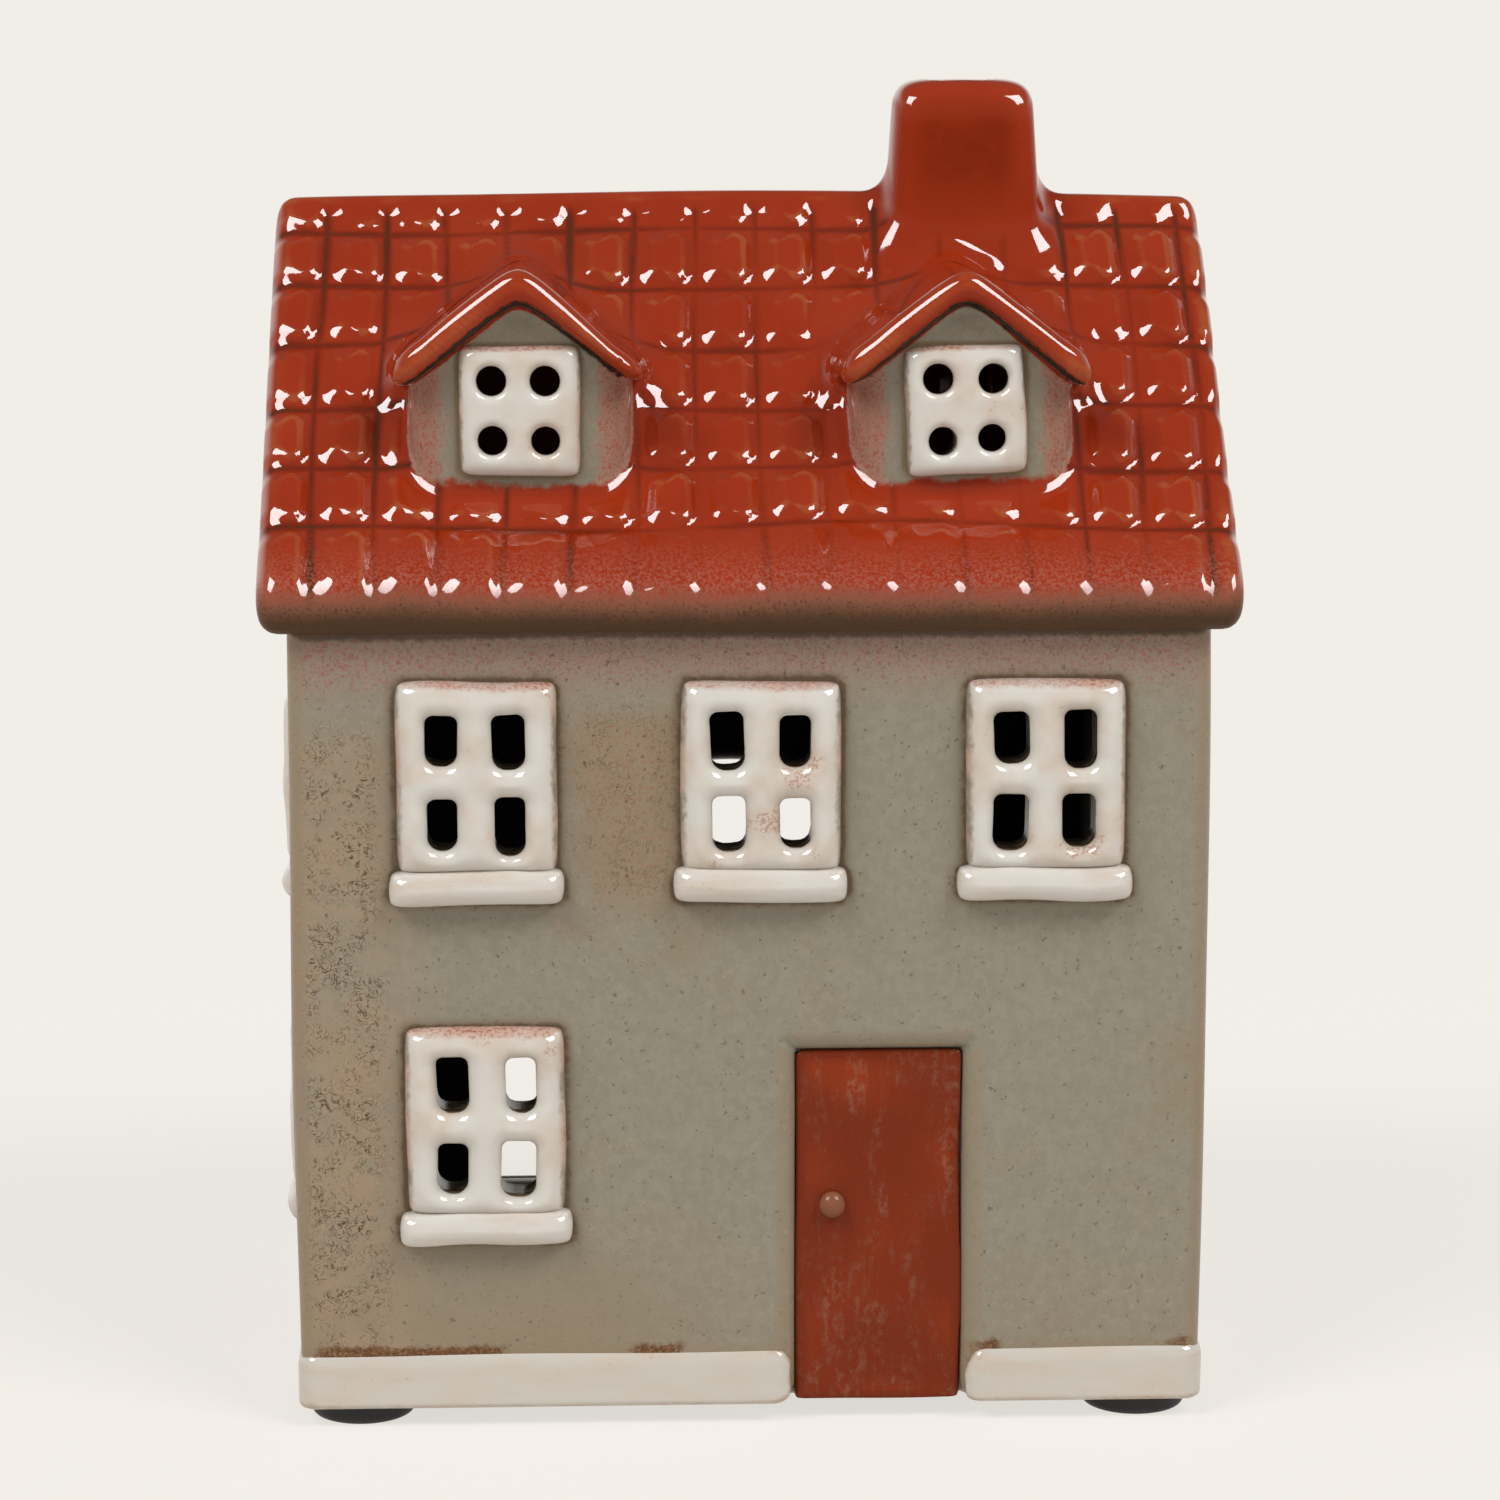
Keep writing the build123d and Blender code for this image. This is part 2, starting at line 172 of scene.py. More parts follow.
class GlazeColours(bpy.types.PropertyGroup):
    """Colours of the glazes, as they look in plain light."""
    roof: colour("Roof", "Clear orange red of the tiles", (0.270, 0.023, 0.004))
    roof_light: colour("Roof light", "Brighter clouds in the roof glaze", (0.290, 0.028, 0.006))
    roof_deep: colour("Roof pooled", "Where the roof glaze pools", (0.110, 0.010, 0.002))
    roof_thin: colour("Roof thin", "Where the roof glaze breaks over an edge", (0.360, 0.110, 0.036))
    crack: colour("Roof crack", "Burnt brown at the bottom of a groove", (0.075, 0.018, 0.004))
    stack: colour("Chimney", "Browner red of the chimney's faces", (0.215, 0.018, 0.002))
    stack_deep: colour("Chimney smoke", "Dark clouds on the chimney", (0.165, 0.013, 0.001))
    blush: colour("Blush", "Milky pink where roof and wall glaze meet", (0.360, 0.135, 0.095))
    eave_blush: colour("Eave edge", "Pink brown of the eave's edge", (0.205, 0.078, 0.048))
    eave: colour("Eave", "Dull brown under the eaves", (0.080, 0.043, 0.022))
    eave_speck: colour("Eave speck", "Dark specks on the eaves", (0.070, 0.028, 0.012))
    wall: colour("Wall", "Grey green of the walls", (0.221, 0.200, 0.146))
    wall_pale: colour("Wall pale", "Lighter grain in the wall glaze", (0.252, 0.228, 0.171))
    wall_warm: colour("Wall warm", "Brown bloom on the walls", (0.250, 0.182, 0.108))
    wall_stain: colour("Wall stain", "Pink tan under the iron squiggles", (0.305, 0.215, 0.135))
    # Olive brown of pooled glaze, also the painted shade round the windows, sills and dormer plates.
    wall_pool_and_shade: colour("Wall pooled", "Olive brown round the windows", (0.165, 0.110, 0.054))
    mauve: colour("Mauve", "Pink grey below the eaves", (0.290, 0.192, 0.145))
    rust: colour("Rust", "Red specks and stains", (0.300, 0.070, 0.040))
    # Also the dark brown of the painted shade along the frames and under the roof.
    fleck: colour("Fleck", "Iron flecks in the wall glaze", (0.056, 0.025, 0.006))
    crust: colour("Crust", "Burnt glaze along the plinth", (0.150, 0.052, 0.008))
    # Also the near black of the painted shade in the panes and round lights.
    burnt: colour("Burnt", "Nearly black brown of burnt glaze", (0.022, 0.013, 0.008))
    white: colour("White", "Window and plinth glaze", (0.590, 0.560, 0.510))
    plinth: colour("Plinth", "Cooler white of the band round the foot", (0.520, 0.490, 0.435))
    white_drag: colour("White drag", "Pink grey drags in the white", (0.530, 0.440, 0.360))
    white_thin: colour("White thin", "Where the white glaze breaks over an edge", (0.400, 0.270, 0.180))
    frame_pink: colour("Frame pink", "Pink on the window frames' upper edge", (0.480, 0.300, 0.225))
    pane_tan: colour("Pane tan", "Tan walls of the panes", (0.230, 0.150, 0.085))
    door: colour("Door", "Deep red of the door", (0.275, 0.033, 0.006))
    knob: colour("Knob", "Pink tan of the door's knob", (0.400, 0.175, 0.095))
    door_milk: colour("Door milk", "Milky drags on the door", (0.370, 0.155, 0.090))
    # Painted shade for the rims of the door and knob.
    door_rim_shade: colour("Door edge", "Darker edge of the door", (0.085, 0.014, 0.004))
    # Near black clay inside the house: painted shade for the dim inside.
    clay: colour("Clay", "Sooty unglazed clay of the inside", (0.060, 0.043, 0.032))
    clay_shade_darker: colour("Clay dark", "Darker soot on the clay", (0.038, 0.028, 0.022))
    rubber: colour("Rubber", "Black of the feet", (0.0045, 0.004, 0.0035))
    backdrop: colour("Backdrop", "Pale floor and surround", (0.880, 0.847, 0.800))


class StageSettings(bpy.types.PropertyGroup):
    """Camera and light."""
    eye: FloatVectorProperty(
        name="Eye", description="Where the camera stands", default=(-0.01849, -0.50009, 0.15654),
        subtype="TRANSLATION", size=3,
    )
    heading: angle("Heading", "Camera's turn to the right", 2.28)
    dip: angle("Dip", "Camera's tilt down", 9.46)
    lens: FloatProperty(name="Lens", description="Focal length in millimetres", default=98.26)
    lamp_distance: length("Lamp distance", "Softboxes from the house", 4.0)
    lamp_side: length("Lamp side", "Edge of a square softbox", 1.8)
    lamp_power: FloatProperty(
        name="Lamp power", description="Power of one softbox", default=104.0, unit="POWER"
    )
    lamp_turn: angle("Lamp turn", "Softboxes to either side", 51)
    lamp_rise: angle("Lamp rise", "Softboxes above the floor", 47)


class HouseSettings(bpy.types.PropertyGroup):
    """Everything that can be set about the house."""
    tiles: PointerProperty(type=TileSizes)
    clay: PointerProperty(type=ClaySizes)
    glaze: PointerProperty(type=GlazeColours)
    stage: PointerProperty(type=StageSettings)


def settings():
    """The scene's settings for the house."""
    return bpy.context.scene.tealight_house


def in_mm(group, *names):
    """The named lengths of a group of settings, in millimetres."""
    return [getattr(group, name) * MM for name in names]


# Clay fields

def smooth_max(a, b, soft):
    """The clay that two fields share, its edge rounded over about half of soft."""
    near = np.maximum(soft - np.abs(a - b), 0.0) / soft
    return np.maximum(a, b) + near * near * soft / 4


def smooth_min(a, b, soft):
    """The clay of either field, with a fillet of about half of soft."""
    return -smooth_max(-a, -b, soft)


def smooth_step(low, high, value):
    """Rises from 0 at low to 1 at high, or falls where low is the higher of the two."""
    t = np.clip((value - low) / (high - low), 0.0, 1.0)
    return t * t * (3 - 2 * t)


def rounded_rect(u, v, half_u, half_v, radius):
    """A rectangle with round corners, about the origin."""
    over_u = np.abs(u) - (half_u - radius)
    over_v = np.abs(v) - (half_v - radius)
    outside = np.sqrt(np.maximum(over_u, 0) ** 2 + np.maximum(over_v, 0) ** 2)
    return outside + np.minimum(np.maximum(over_u, over_v), 0) - radius


def soft_rect(u, v, half_u, half_v, soft):
    """A rectangle with soft corners whose depth has no fold along its diagonals."""
    in_u = np.maximum(half_u + soft - np.abs(u), 0.05)
    in_v = np.maximum(half_v + soft - np.abs(v), 0.05)
    return soft - (in_u ** -3.0 + in_v ** -3.0) ** (-1 / 3)


def soft_abs(value, radius):
    """Distance from a fold, rounded at the fold."""
    return np.sqrt(value * value + radius * radius)


def wobble(seed, size, reach):
    """A slow unevenness of the hand: about size high, with swells about reach long."""
    rng = np.random.default_rng(seed)
    waves = rng.normal(size=(5, 3))
    waves *= (2 * np.pi / reach * rng.uniform(0.6, 1.3, 5) / np.linalg.norm(waves, axis=1))[:, None]
    phases = rng.uniform(0, 2 * np.pi, 5)

    def at(x, y, z):
        total = 0.0
        for wave, phase in zip(waves.astype(np.float32), phases.astype(np.float32)):
            total = total + np.sin(wave[0] * x + wave[1] * y + wave[2] * z + phase)
        return total * np.float32(size / 2.2)

    return at


# Nets laid over the fields

CUBE = np.array([(i, j, k) for i in (0, 1) for j in (0, 1) for k in (0, 1)])
CUBE_EDGES = [
    (a, b) for a in range(8) for b in range(a + 1, 8) if np.abs(CUBE[a] - CUBE[b]).sum() == 1
]


def grid_values(field, low, high, cell):
    """Grid lines round a box and the field at their crossings."""
    axes = [np.arange(lo - 2 * cell, hi + 2.5 * cell, cell) for lo, hi in zip(low, high)]
    x, y, z = (axis.astype(np.float32) for axis in axes)
    values = field(x[:, None, None], y[None, :, None], z[None, None, :])
    return axes, np.broadcast_to(values, [len(axis) for axis in axes])


def slopes(field, points, step):
    """The field's slope and bend at points."""
    x, y, z = points.T
    here = field(x, y, z)
    slope = np.empty_like(points)
    bend = -6 * here
    for axis in range(3):
        shift = np.zeros(3)
        shift[axis] = step
        ahead = field(x + shift[0], y + shift[1], z + shift[2])
        behind = field(x - shift[0], y - shift[1], z - shift[2])
        slope[:, axis] = (ahead - behind) / (2 * step)
        bend = bend + ahead + behind
    return here, slope, bend / step ** 2


def net_points(axes, values, cells, cell):
    """One point in each cell that the clay's skin passes through: the mean of its edge crossings."""
    origin = np.array([axis[0] for axis in axes])
    held = np.stack([values[tuple((cells + corner).T)] for corner in CUBE], axis=1).astype(np.float64)
    total = np.zeros((len(cells), 3))
    count = np.zeros(len(cells))
    for a, b in CUBE_EDGES:
        crossed = (held[:, a] < 0) != (held[:, b] < 0)
        gap = np.where(crossed, held[:, a] - held[:, b], 1.0)
        along = np.where(crossed, held[:, a] / gap, 0.0)
        total += crossed[:, None] * (CUBE[a] + along[:, None] * (CUBE[b] - CUBE[a]))
        count += crossed
    return origin + (cells + total / count[:, None]) * cell


def net_quads(inside, index):
    """Quads across each grid edge that enters or leaves the clay."""
    quads = []
    for axis in range(3):
        first = [slice(1, -1)] * 3
        second = [slice(1, -1)] * 3
        first[axis] = slice(0, -1)
        second[axis] = slice(1, None)
        enters = inside[tuple(first)]
        crossed = enters != inside[tuple(second)]
        spot = np.argwhere(crossed)
        spot += np.array([0 if i == axis else 1 for i in range(3)])
        u, v = (axis + 1) % 3, (axis + 2) % 3
        ring = []
        for du, dv in ((-1, -1), (0, -1), (0, 0), (-1, 0)):
            cell = spot.copy()
            cell[:, u] += du
            cell[:, v] += dv
            ring.append(index[tuple(cell.T)])
        ring = np.stack(ring, axis=1)
        outward = enters[crossed]
        ring[~outward] = ring[~outward][:, ::-1]
        quads.append(ring)
    return np.concatenate(quads)


def lay_net(field, low, high, cell, bend_step=0.6):
    """A closed net of quads on the field's skin, with its normals and how sharply it bends."""
    axes, values = grid_values(field, low, high, cell)
    inside = values < 0
    filled = np.zeros([n - 1 for n in values.shape], np.int8)
    for i, j, k in CUBE:
        filled += inside[i:i + filled.shape[0], j:j + filled.shape[1], k:k + filled.shape[2]]
    cells = np.argwhere((filled > 0) & (filled < 8))
    index = np.full(filled.shape, -1, np.int64)
    index[tuple(cells.T)] = np.arange(len(cells))
    points = net_points(axes, values, cells, cell)
    for _ in range(3):  # draws the points onto the skin
        here, slope, _ = slopes(field, points, 0.03)
        step = (here / np.maximum((slope ** 2).sum(axis=1), 0.2))[:, None] * slope
        points -= np.clip(step, -cell / 2, cell / 2)
    _, slope, _ = slopes(field, points, 0.12)
    normals = slope / np.maximum(np.linalg.norm(slope, axis=1), 1e-6)[:, None]
    _, _, bend = slopes(field, points, bend_step)
    if not len(points):
        raise RuntimeError("the field has no clay in its box")
    return SimpleNamespace(
        points=points, quads=net_quads(inside, index), normals=normals, marks={"edge": bend}
    )


def place_net(net, origin, right, up, out):
    """Moves a net drawn in a wall's own frame to where it lies on the house."""
    turn = np.array([right, up, out], float)
    net.points = np.array(origin, float) + net.points @ turn
    net.normals = net.normals @ turn
    return net


def add_mesh(name, net):
    """A Blender object from a net in millimetres."""
    mesh = bpy.data.meshes.new(name)
    mesh.from_pydata((net.points / MM).tolist(), [], net.quads.tolist())
    for mark, values in net.marks.items():
        layer = mesh.attributes.new(mark, "FLOAT", "POINT")
        layer.data.foreach_set("value", np.asarray(values, np.float32))
    mesh.polygons.foreach_set("use_smooth", [True] * len(mesh.polygons))
    mesh.normals_split_custom_set_from_vertices(net.normals.tolist())
    mesh.validate()
    piece = bpy.data.objects.new(name, mesh)
    bpy.context.scene.collection.objects.link(piece)
    return piece


def finish_piece(piece, material, nodes, body=HOUSE_BODY):
    """Gives a piece its finish, and ties it to its body and the CAD nodes it stands for."""
    piece.data.materials.clear()
    piece.data.materials.append(material)
    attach(piece, body)
    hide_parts(*nodes)
    return piece


# Roof: two tiled slabs, the chimney and the dormers, fired as one

RIDGE_LIFT = 0.62  # how far the tiles under the ridge stand out, beside the others


class RoofForm:
    """The clay of the roof as fields."""

    def __init__(self):
        tiles = settings().tiles
        clay = settings().clay
        self.sin = math.sin(HOUSE.pitch)
        self.cos = math.cos(HOUSE.pitch)
        self.apex_z = HOUSE.inner_apex_z + tiles.thickness * MM / self.cos
        self.courses = tiles.courses
        self.column = tiles.width * MM
        self.first_joint = tiles.first * MM - HOUSE.verge_x
        self.columns = 1 + math.ceil((HOUSE.verge_x - self.first_joint) / self.column)
        self.ridge_course = tiles.ridge_course * MM
        self.slope_length = HOUSE.eave_y / self.cos
        tiled = self.slope_length - self.ridge_course - tiles.eave_band * MM
        self.course = tiled / (tiles.courses - 1)
        shape = in_mm(tiles, "depth", "shoulder", "lip", "corner")
        self.depth, self.shoulder, self.lip, self.corner = shape
        self.flare, self.ridge_round, self.bow = in_mm(tiles, "flare", "ridge_round", "bow")
        rng = np.random.default_rng(31)
        self.lifts = rng.uniform(0.72, 1.15, (2, self.courses, self.columns)).astype(np.float32)
        self.sway = wobble(5, 0.45, 34.0)
        self.wave = wobble(6, 0.55, 30.0)
        self.swell = wobble(7, 0.30, 42.0)
        self.press = wobble(8, 0.24, 17.0)
        self.roll = wobble(9, 0.34, 25.0)
        self.chimney_low, self.chimney_high = corners("chimney")
        self.dormer_cos = math.cos(clay.dormer_pitch)
        self.dormer_sin = math.sin(clay.dormer_pitch)
        self.sheet, self.dormer_wall = in_mm(clay, "dormer_thickness", "dormer_wall")
        self.light, self.light_step, self.light_rise = in_mm(clay, "light", "light_step", "light_rise")
        self.dormers = [self.read_dormer(side) for side in DORMERS]

    def read_dormer(self, side):
        body_low, body_high = corners(f"dormer_{side}_body")
        roof_low, roof_high = corners(f"dormer_{side}_roof")
        plate_low, plate_high = corners(f"dormer_{side}_window")
        dormer = SimpleNamespace()
        dormer.x = (body_low[0] + body_high[0]) / 2
        dormer.half = (body_high[0] - body_low[0]) / 2
        dormer.front = body_low[1]
        dormer.roof_half = dormer.half + 1.9
        dormer.roof_front = roof_low[1]
        dormer.ceiling = roof_high[2] - self.sheet / self.dormer_cos
        dormer.plate_z = (plate_low[2] + plate_high[2]) / 2
        dormer.plate_half = (plate_high[0] - plate_low[0]) / 2
        dormer.plate_rise = (plate_high[2] - plate_low[2]) / 2
        return dormer

    def above_inner(self, y, z):
        """Height above the slabs' underside, square to the slope."""
        return np.abs(y) * self.sin + (z - HOUSE.inner_apex_z) * self.cos

    def tile_at(self, x, y, down):
        """The tile under a point: its crown, from 0 to 1, its nearest joint and crease, and its pressing."""
        across = 1 + (x - self.first_joint + self.sway(x, y * 0, down)) / self.column
        shifted = down + self.wave(x, y * 0, down)
        rows = np.where(
            shifted < self.ridge_course,
            shifted / self.ridge_course,
            1 + (shifted - self.ridge_course) / self.course,
        )
        col = np.clip(np.floor(across), 0, self.columns - 1).astype(np.int32)
        row = np.clip(np.floor(rows), 0, self.courses - 1).astype(np.int32)
        run = np.where(row == 0, self.ridge_course, self.course)
        u = (np.clip(across - col, 0, 1) - 0.5) * self.column
        v = (np.clip(rows - row, 0, 1) - 0.5) * run
        side = np.broadcast_to((y > 0).astype(np.int32), np.broadcast(u, v).shape)
        last = row == self.courses - 1
        along = x / HOUSE.verge_x
        # The last course is worn smooth towards the middle of the roof
        worn = 0.35 + 0.45 * smooth_step(0.1, -0.7, along) + 0.40 * smooth_step(0.72, 0.95, along)
        v_open = np.where(last, np.minimum(v, 0), v)  # no crease below the last course
        shoulder = self.shoulder + (self.lip - self.shoulder) * smooth_step(-0.8, 1.4, u)
        tile = SimpleNamespace()
        tile.beside = self.column / 2 - np.abs(u)
        tile.below = run / 2 - np.abs(v_open)
        # Joints were pressed deeper towards the verges
        tile.pressed = np.clip(0.82 + 0.45 * along ** 2 + self.press(x, 0 * y, down), 0.4, 1.5)
        lift = self.lifts[side, row, col] * (0.72 + 0.28 * tile.pressed)
        lift = np.where(row == 0, lift * RIDGE_LIFT, lift)
        tile.lift = np.where(last, worn, lift)
        inset = -rounded_rect(u, v_open, self.column / 2, run / 2, self.corner)
        tile.crown = smooth_step(0.0, 1.0, inset / shoulder)
        return tile

    def relief(self, x, y, down, clear):
        """How far the tiles fall below their crowns. Where clear is 0, they were smoothed over."""
        tile = self.tile_at(x, y, down)
        plain = 0.3 * self.depth
        kept = smooth_step(1.6, 4.2, down) * clear
        fall = self.depth * (1 - tile.crown * tile.lift)
        return plain * smooth_step(1.2, 4.0, down) + kept * (fall - plain)

    def slope_place(self, y, z):
        """How far a point lies down the slope and above the crowns of its tiles."""
        fold = soft_abs(y, self.ridge_round)
        down = fold * self.cos + (self.apex_z - z) * self.sin
        above = fold * self.sin + (z - self.apex_z) * self.cos
        return down, above

    def slab(self, x, y, z, clear):
        """Both slopes with their tiles, soft eaves and verges, and the round under the overhang."""
        down, above = self.slope_place(y, z)
        relief = self.relief(x, y, down, clear)
        rise = self.bow * (1 - (x / HOUSE.verge_x) ** 2) * smooth_step(26.0, 2.0, down) * self.cos
        rise = rise + self.flare * smooth_step(self.slope_length - 16.0, self.slope_length - 3.0, down)
        top = above + relief - rise - self.swell(x, y, z) * 0.5
        eave = np.abs(y) - HOUSE.eave_y + SKIN_MARGIN
        edge = smooth_max(smooth_max(top, eave, 2.0), HOUSE.crease_z - z, 4.2)
        edge = smooth_max(edge, -self.above_inner(y, z), 1.5)
        return smooth_max(edge, np.abs(x) - HOUSE.verge_x + SKIN_MARGIN, 2.8)

    def stack(self, x, y, z):
        """The chimney, a little wider towards its foot."""
        low, high = self.chimney_low, self.chimney_high
        fall = high[2] - z
        foot_x = (high[0] - low[0]) / 2
        foot_y = (high[1] - low[1]) / 2
        share = np.clip(fall / (high[2] - low[2]), -0.2, 1.2)
        half_x = foot_x - 0.9 + 1.3 * share
        half_y = foot_y - 0.9 + 1.3 * share - 0.8 * smooth_step(5.5, 0.0, fall)
        side = soft_rect(x - (low[0] + high[0]) / 2 - 0.3, y, half_x, half_y, 4.2)
        return smooth_max(side, -fall + 0.05, 3.2)

    def flue(self, x, y, z):
        """The chimney's open way, down into the house."""
        low, high = self.chimney_low, self.chimney_high
        half_x, half_y, corner = 3.4, 2.2, 1.2
        side = rounded_rect(x - (low[0] + high[0]) / 2, y, half_x, half_y, corner)
        return np.maximum(side, HOUSE.crease_z - z)

    def dormer_rise(self, dormer, x, z):
        """Height above a dormer's ceiling line, square to its roof planes."""
        fold = soft_abs(x - dormer.x, 1.7) - 1.0
        fold = fold - 0.06 * np.maximum(fold - dormer.half + 3.0, 0) ** 2
        return (z - dormer.ceiling) * self.dormer_cos + fold * self.dormer_sin

    def cheeks(self, dormer, x, y, z):
        """A dormer's solid walls under its roof."""
        rise = self.dormer_rise(dormer, x, z)
        body = smooth_max(np.abs(x - dormer.x) - dormer.half - 0.2, dormer.front - y, 6.5)
        body = smooth_max(body, rise - 0.4, 0.8)
        return np.maximum(np.maximum(body, -self.above_inner(y, z)), y)

    def folded_roof(self, dormer, x, y, z):
        """A dormer's roof: a thick sheet folded over the ridge, with rolled edges."""
        rise = self.dormer_rise(dormer, x, z)
        sheet = np.abs(rise - self.sheet / 2) - self.sheet / 2 + self.roll(x, 0 * y, z)
        sheet = smooth_max(sheet, np.abs(x - dormer.x) - dormer.roof_half, 2.2)
        sheet = smooth_max(sheet, dormer.roof_front - y, 2.2)
        return np.maximum(np.maximum(sheet, -self.above_inner(y, z)), y)

    def dormer_hollow(self, dormer, x, y, z):
        """The space inside a dormer, open down into the roof, with its round lights."""
        rise = self.dormer_rise(dormer, x, z)
        space = np.maximum(np.abs(x - dormer.x) - dormer.half + self.dormer_wall, rise + self.dormer_wall)
        space = np.maximum(np.maximum(space, dormer.front + self.dormer_wall - y), y + 2)
        for i in (-1, 1):
            for k in (-1, 1):
                u = x - dormer.x - i * self.light_step / 2
                w = z - dormer.plate_z - k * self.light_rise / 2
                bore = np.sqrt(u * u + w * w) - self.light / 2 - 0.25
                bore = np.maximum(bore, y - dormer.front - self.dormer_wall - 1)
                space = np.minimum(space, bore)
        return space

    def parts(self, x, y, z):
        """The red and the grey clay, before they are hollowed."""
        stack = self.stack(x, y, z)
        sheets = [self.folded_roof(dormer, x, y, z) for dormer in self.dormers]
        cheeks = [self.cheeks(dormer, x, y, z) for dormer in self.dormers]
        grey = np.minimum(*cheeks)
        gap = np.minimum(np.minimum(stack, grey), np.minimum(*sheets))
        red = smooth_min(self.slab(x, y, z, smooth_step(0.4, 3.2, gap)), stack, 3.2)
        for sheet in sheets:
            red = smooth_min(red, sheet, 3.6)
        return red, grey

    def clay(self, x, y, z):
        """The whole roof, hollowed."""
        red, grey = self.parts(x, y, z)
        body = smooth_min(red, grey, 1.2)
        for dormer in self.dormers:
            body = smooth_max(body, -self.dormer_hollow(dormer, x, y, z), 0.5)
        return smooth_max(body, -self.flue(x, y, z), 0.9)

    def mark_glazes(self, net):
        """Marks the dormers' grey walls, flanks and seams, and the tiles' joints and creases."""
        x, y, z = net.points.T
        red, grey = self.parts(x, y, z)
        net.marks["grey"] = np.clip(0.5 + (red - grey) / 1.6, 0, 1)
        flank = np.full(len(x), FAR)
        under = np.full(len(x), FAR)
        plate = np.full(len(x), FAR)
        for dormer in self.dormers:
            flank = np.minimum(flank, np.abs(x - dormer.x))
            rise = np.abs(self.dormer_rise(dormer, x, z) + 0.1)
            near = (np.abs(x - dormer.x) < dormer.roof_half + 1) & (y < dormer.front + 2.0)
            under = np.where(near, np.minimum(under, rise), under)
            u, w = x - dormer.x, z - dormer.plate_z
            gap = rounded_rect(u, w, dormer.plate_half, dormer.plate_rise, 1.0)
            plate = np.where(near, np.minimum(plate, np.maximum(gap, 0)), plate)
        net.marks["flank"] = smooth_step(6.8, 11.4, flank)
        net.marks["seam"] = np.exp(-under / 0.62)
        down, above = self.slope_place(y, z)
        tile = self.tile_at(x, y, down)
        ridgeward = 0.25 * smooth_step(18.0, 5.0, down)
        tiled = (above > -2.5) * smooth_step(2.6, 1.3, above) * smooth_step(1.6, 4.2, down)
        net.marks["joint"] = np.exp(-tile.beside / 0.55) * (tile.pressed - 0.15 + ridgeward) * tiled
        net.marks["crease"] = np.exp(-tile.below / 0.60) * tile.pressed * tiled
        # Nearness to a dormer's plate, which carries the painted shadow round the plate.
        net.marks["pooling_and_shade"] = np.exp(-plate / 0.7)


def build_roof():
    form = RoofForm()
    low = (-HOUSE.verge_x, -HOUSE.eave_y, HOUSE.crease_z)
    high = (HOUSE.verge_x, HOUSE.eave_y, form.chimney_high[2])
    net = lay_net(form.clay, low, high, settings().clay.roof_cell * MM)
    form.mark_glazes(net)
    piece = add_mesh("roof_with_chimney", net)
    nodes = ["roof_front", "roof_back", "chimney"]
    nodes += [f"dormer_{side}_{part}" for side in DORMERS for part in ("body", "roof")]
    finish_piece(piece, roof_glaze(), nodes)


# Walls

SIDE_SWELL = 0.36  # millimetres that the side walls belly out
FRAME_HALF = (9.25, 11.1)
SILL_HALF = (10.1, 1.8)
SILL_DROP = 12.8


def wall_frame(name):
    """Where a wall window lies: its wall's face point, and its right, up and outward directions."""
    spot = middle(f"window_{name}")
    if name.startswith("front"):
        return (spot[0], -HOUSE.half_depth, spot[2]), *FRONT
    side = -1 if name.startswith("left") else 1
    face_x = side * (HOUSE.half_width + SIDE_SWELL)
    return (face_x, spot[1], spot[2]), (0, side, 0), (0, 0, 1), (side, 0, 0)


def window_cut(index):
    """The pane centres, half sizes and turns of one hand-cut window, in its wall's frame."""
    names = ("pane_width", "pane_height", "pane_step", "pane_rise")
    width, height, step, rise = in_mm(settings().clay, *names)
    rng = np.random.default_rng(200 + index)
    cuts = []
    for i in (-1, 1):
        for k in (-1, 1):
            jitter = rng.uniform(-1, 1, 5)
            cuts.append(SimpleNamespace(
                u=i * step / 2 + 0.22 * jitter[0],
                w=-0.5 + k * rise / 2 + 0.25 * jitter[1],
                half_u=width / 2 + 0.18 * jitter[2],
                half_w=height / 2 + 0.28 * jitter[3],
                turn=0.045 * jitter[4],
            ))
    return cuts


def pane_field(cuts, u, w, grow):
    """The four panes of a window as one field."""
    panes = FAR
    for cut in cuts:
        du = u - cut.u
        dw = w - cut.w
        turned_u = du + cut.turn * dw
        turned_w = dw - cut.turn * du
        corner = np.where(turned_w < 0, 1.55, 0.85)  # rounder at the bottom
        pane = rounded_rect(turned_u, turned_w, cut.half_u + grow, cut.half_w + grow, corner)
        panes = np.minimum(panes, pane)
    return panes


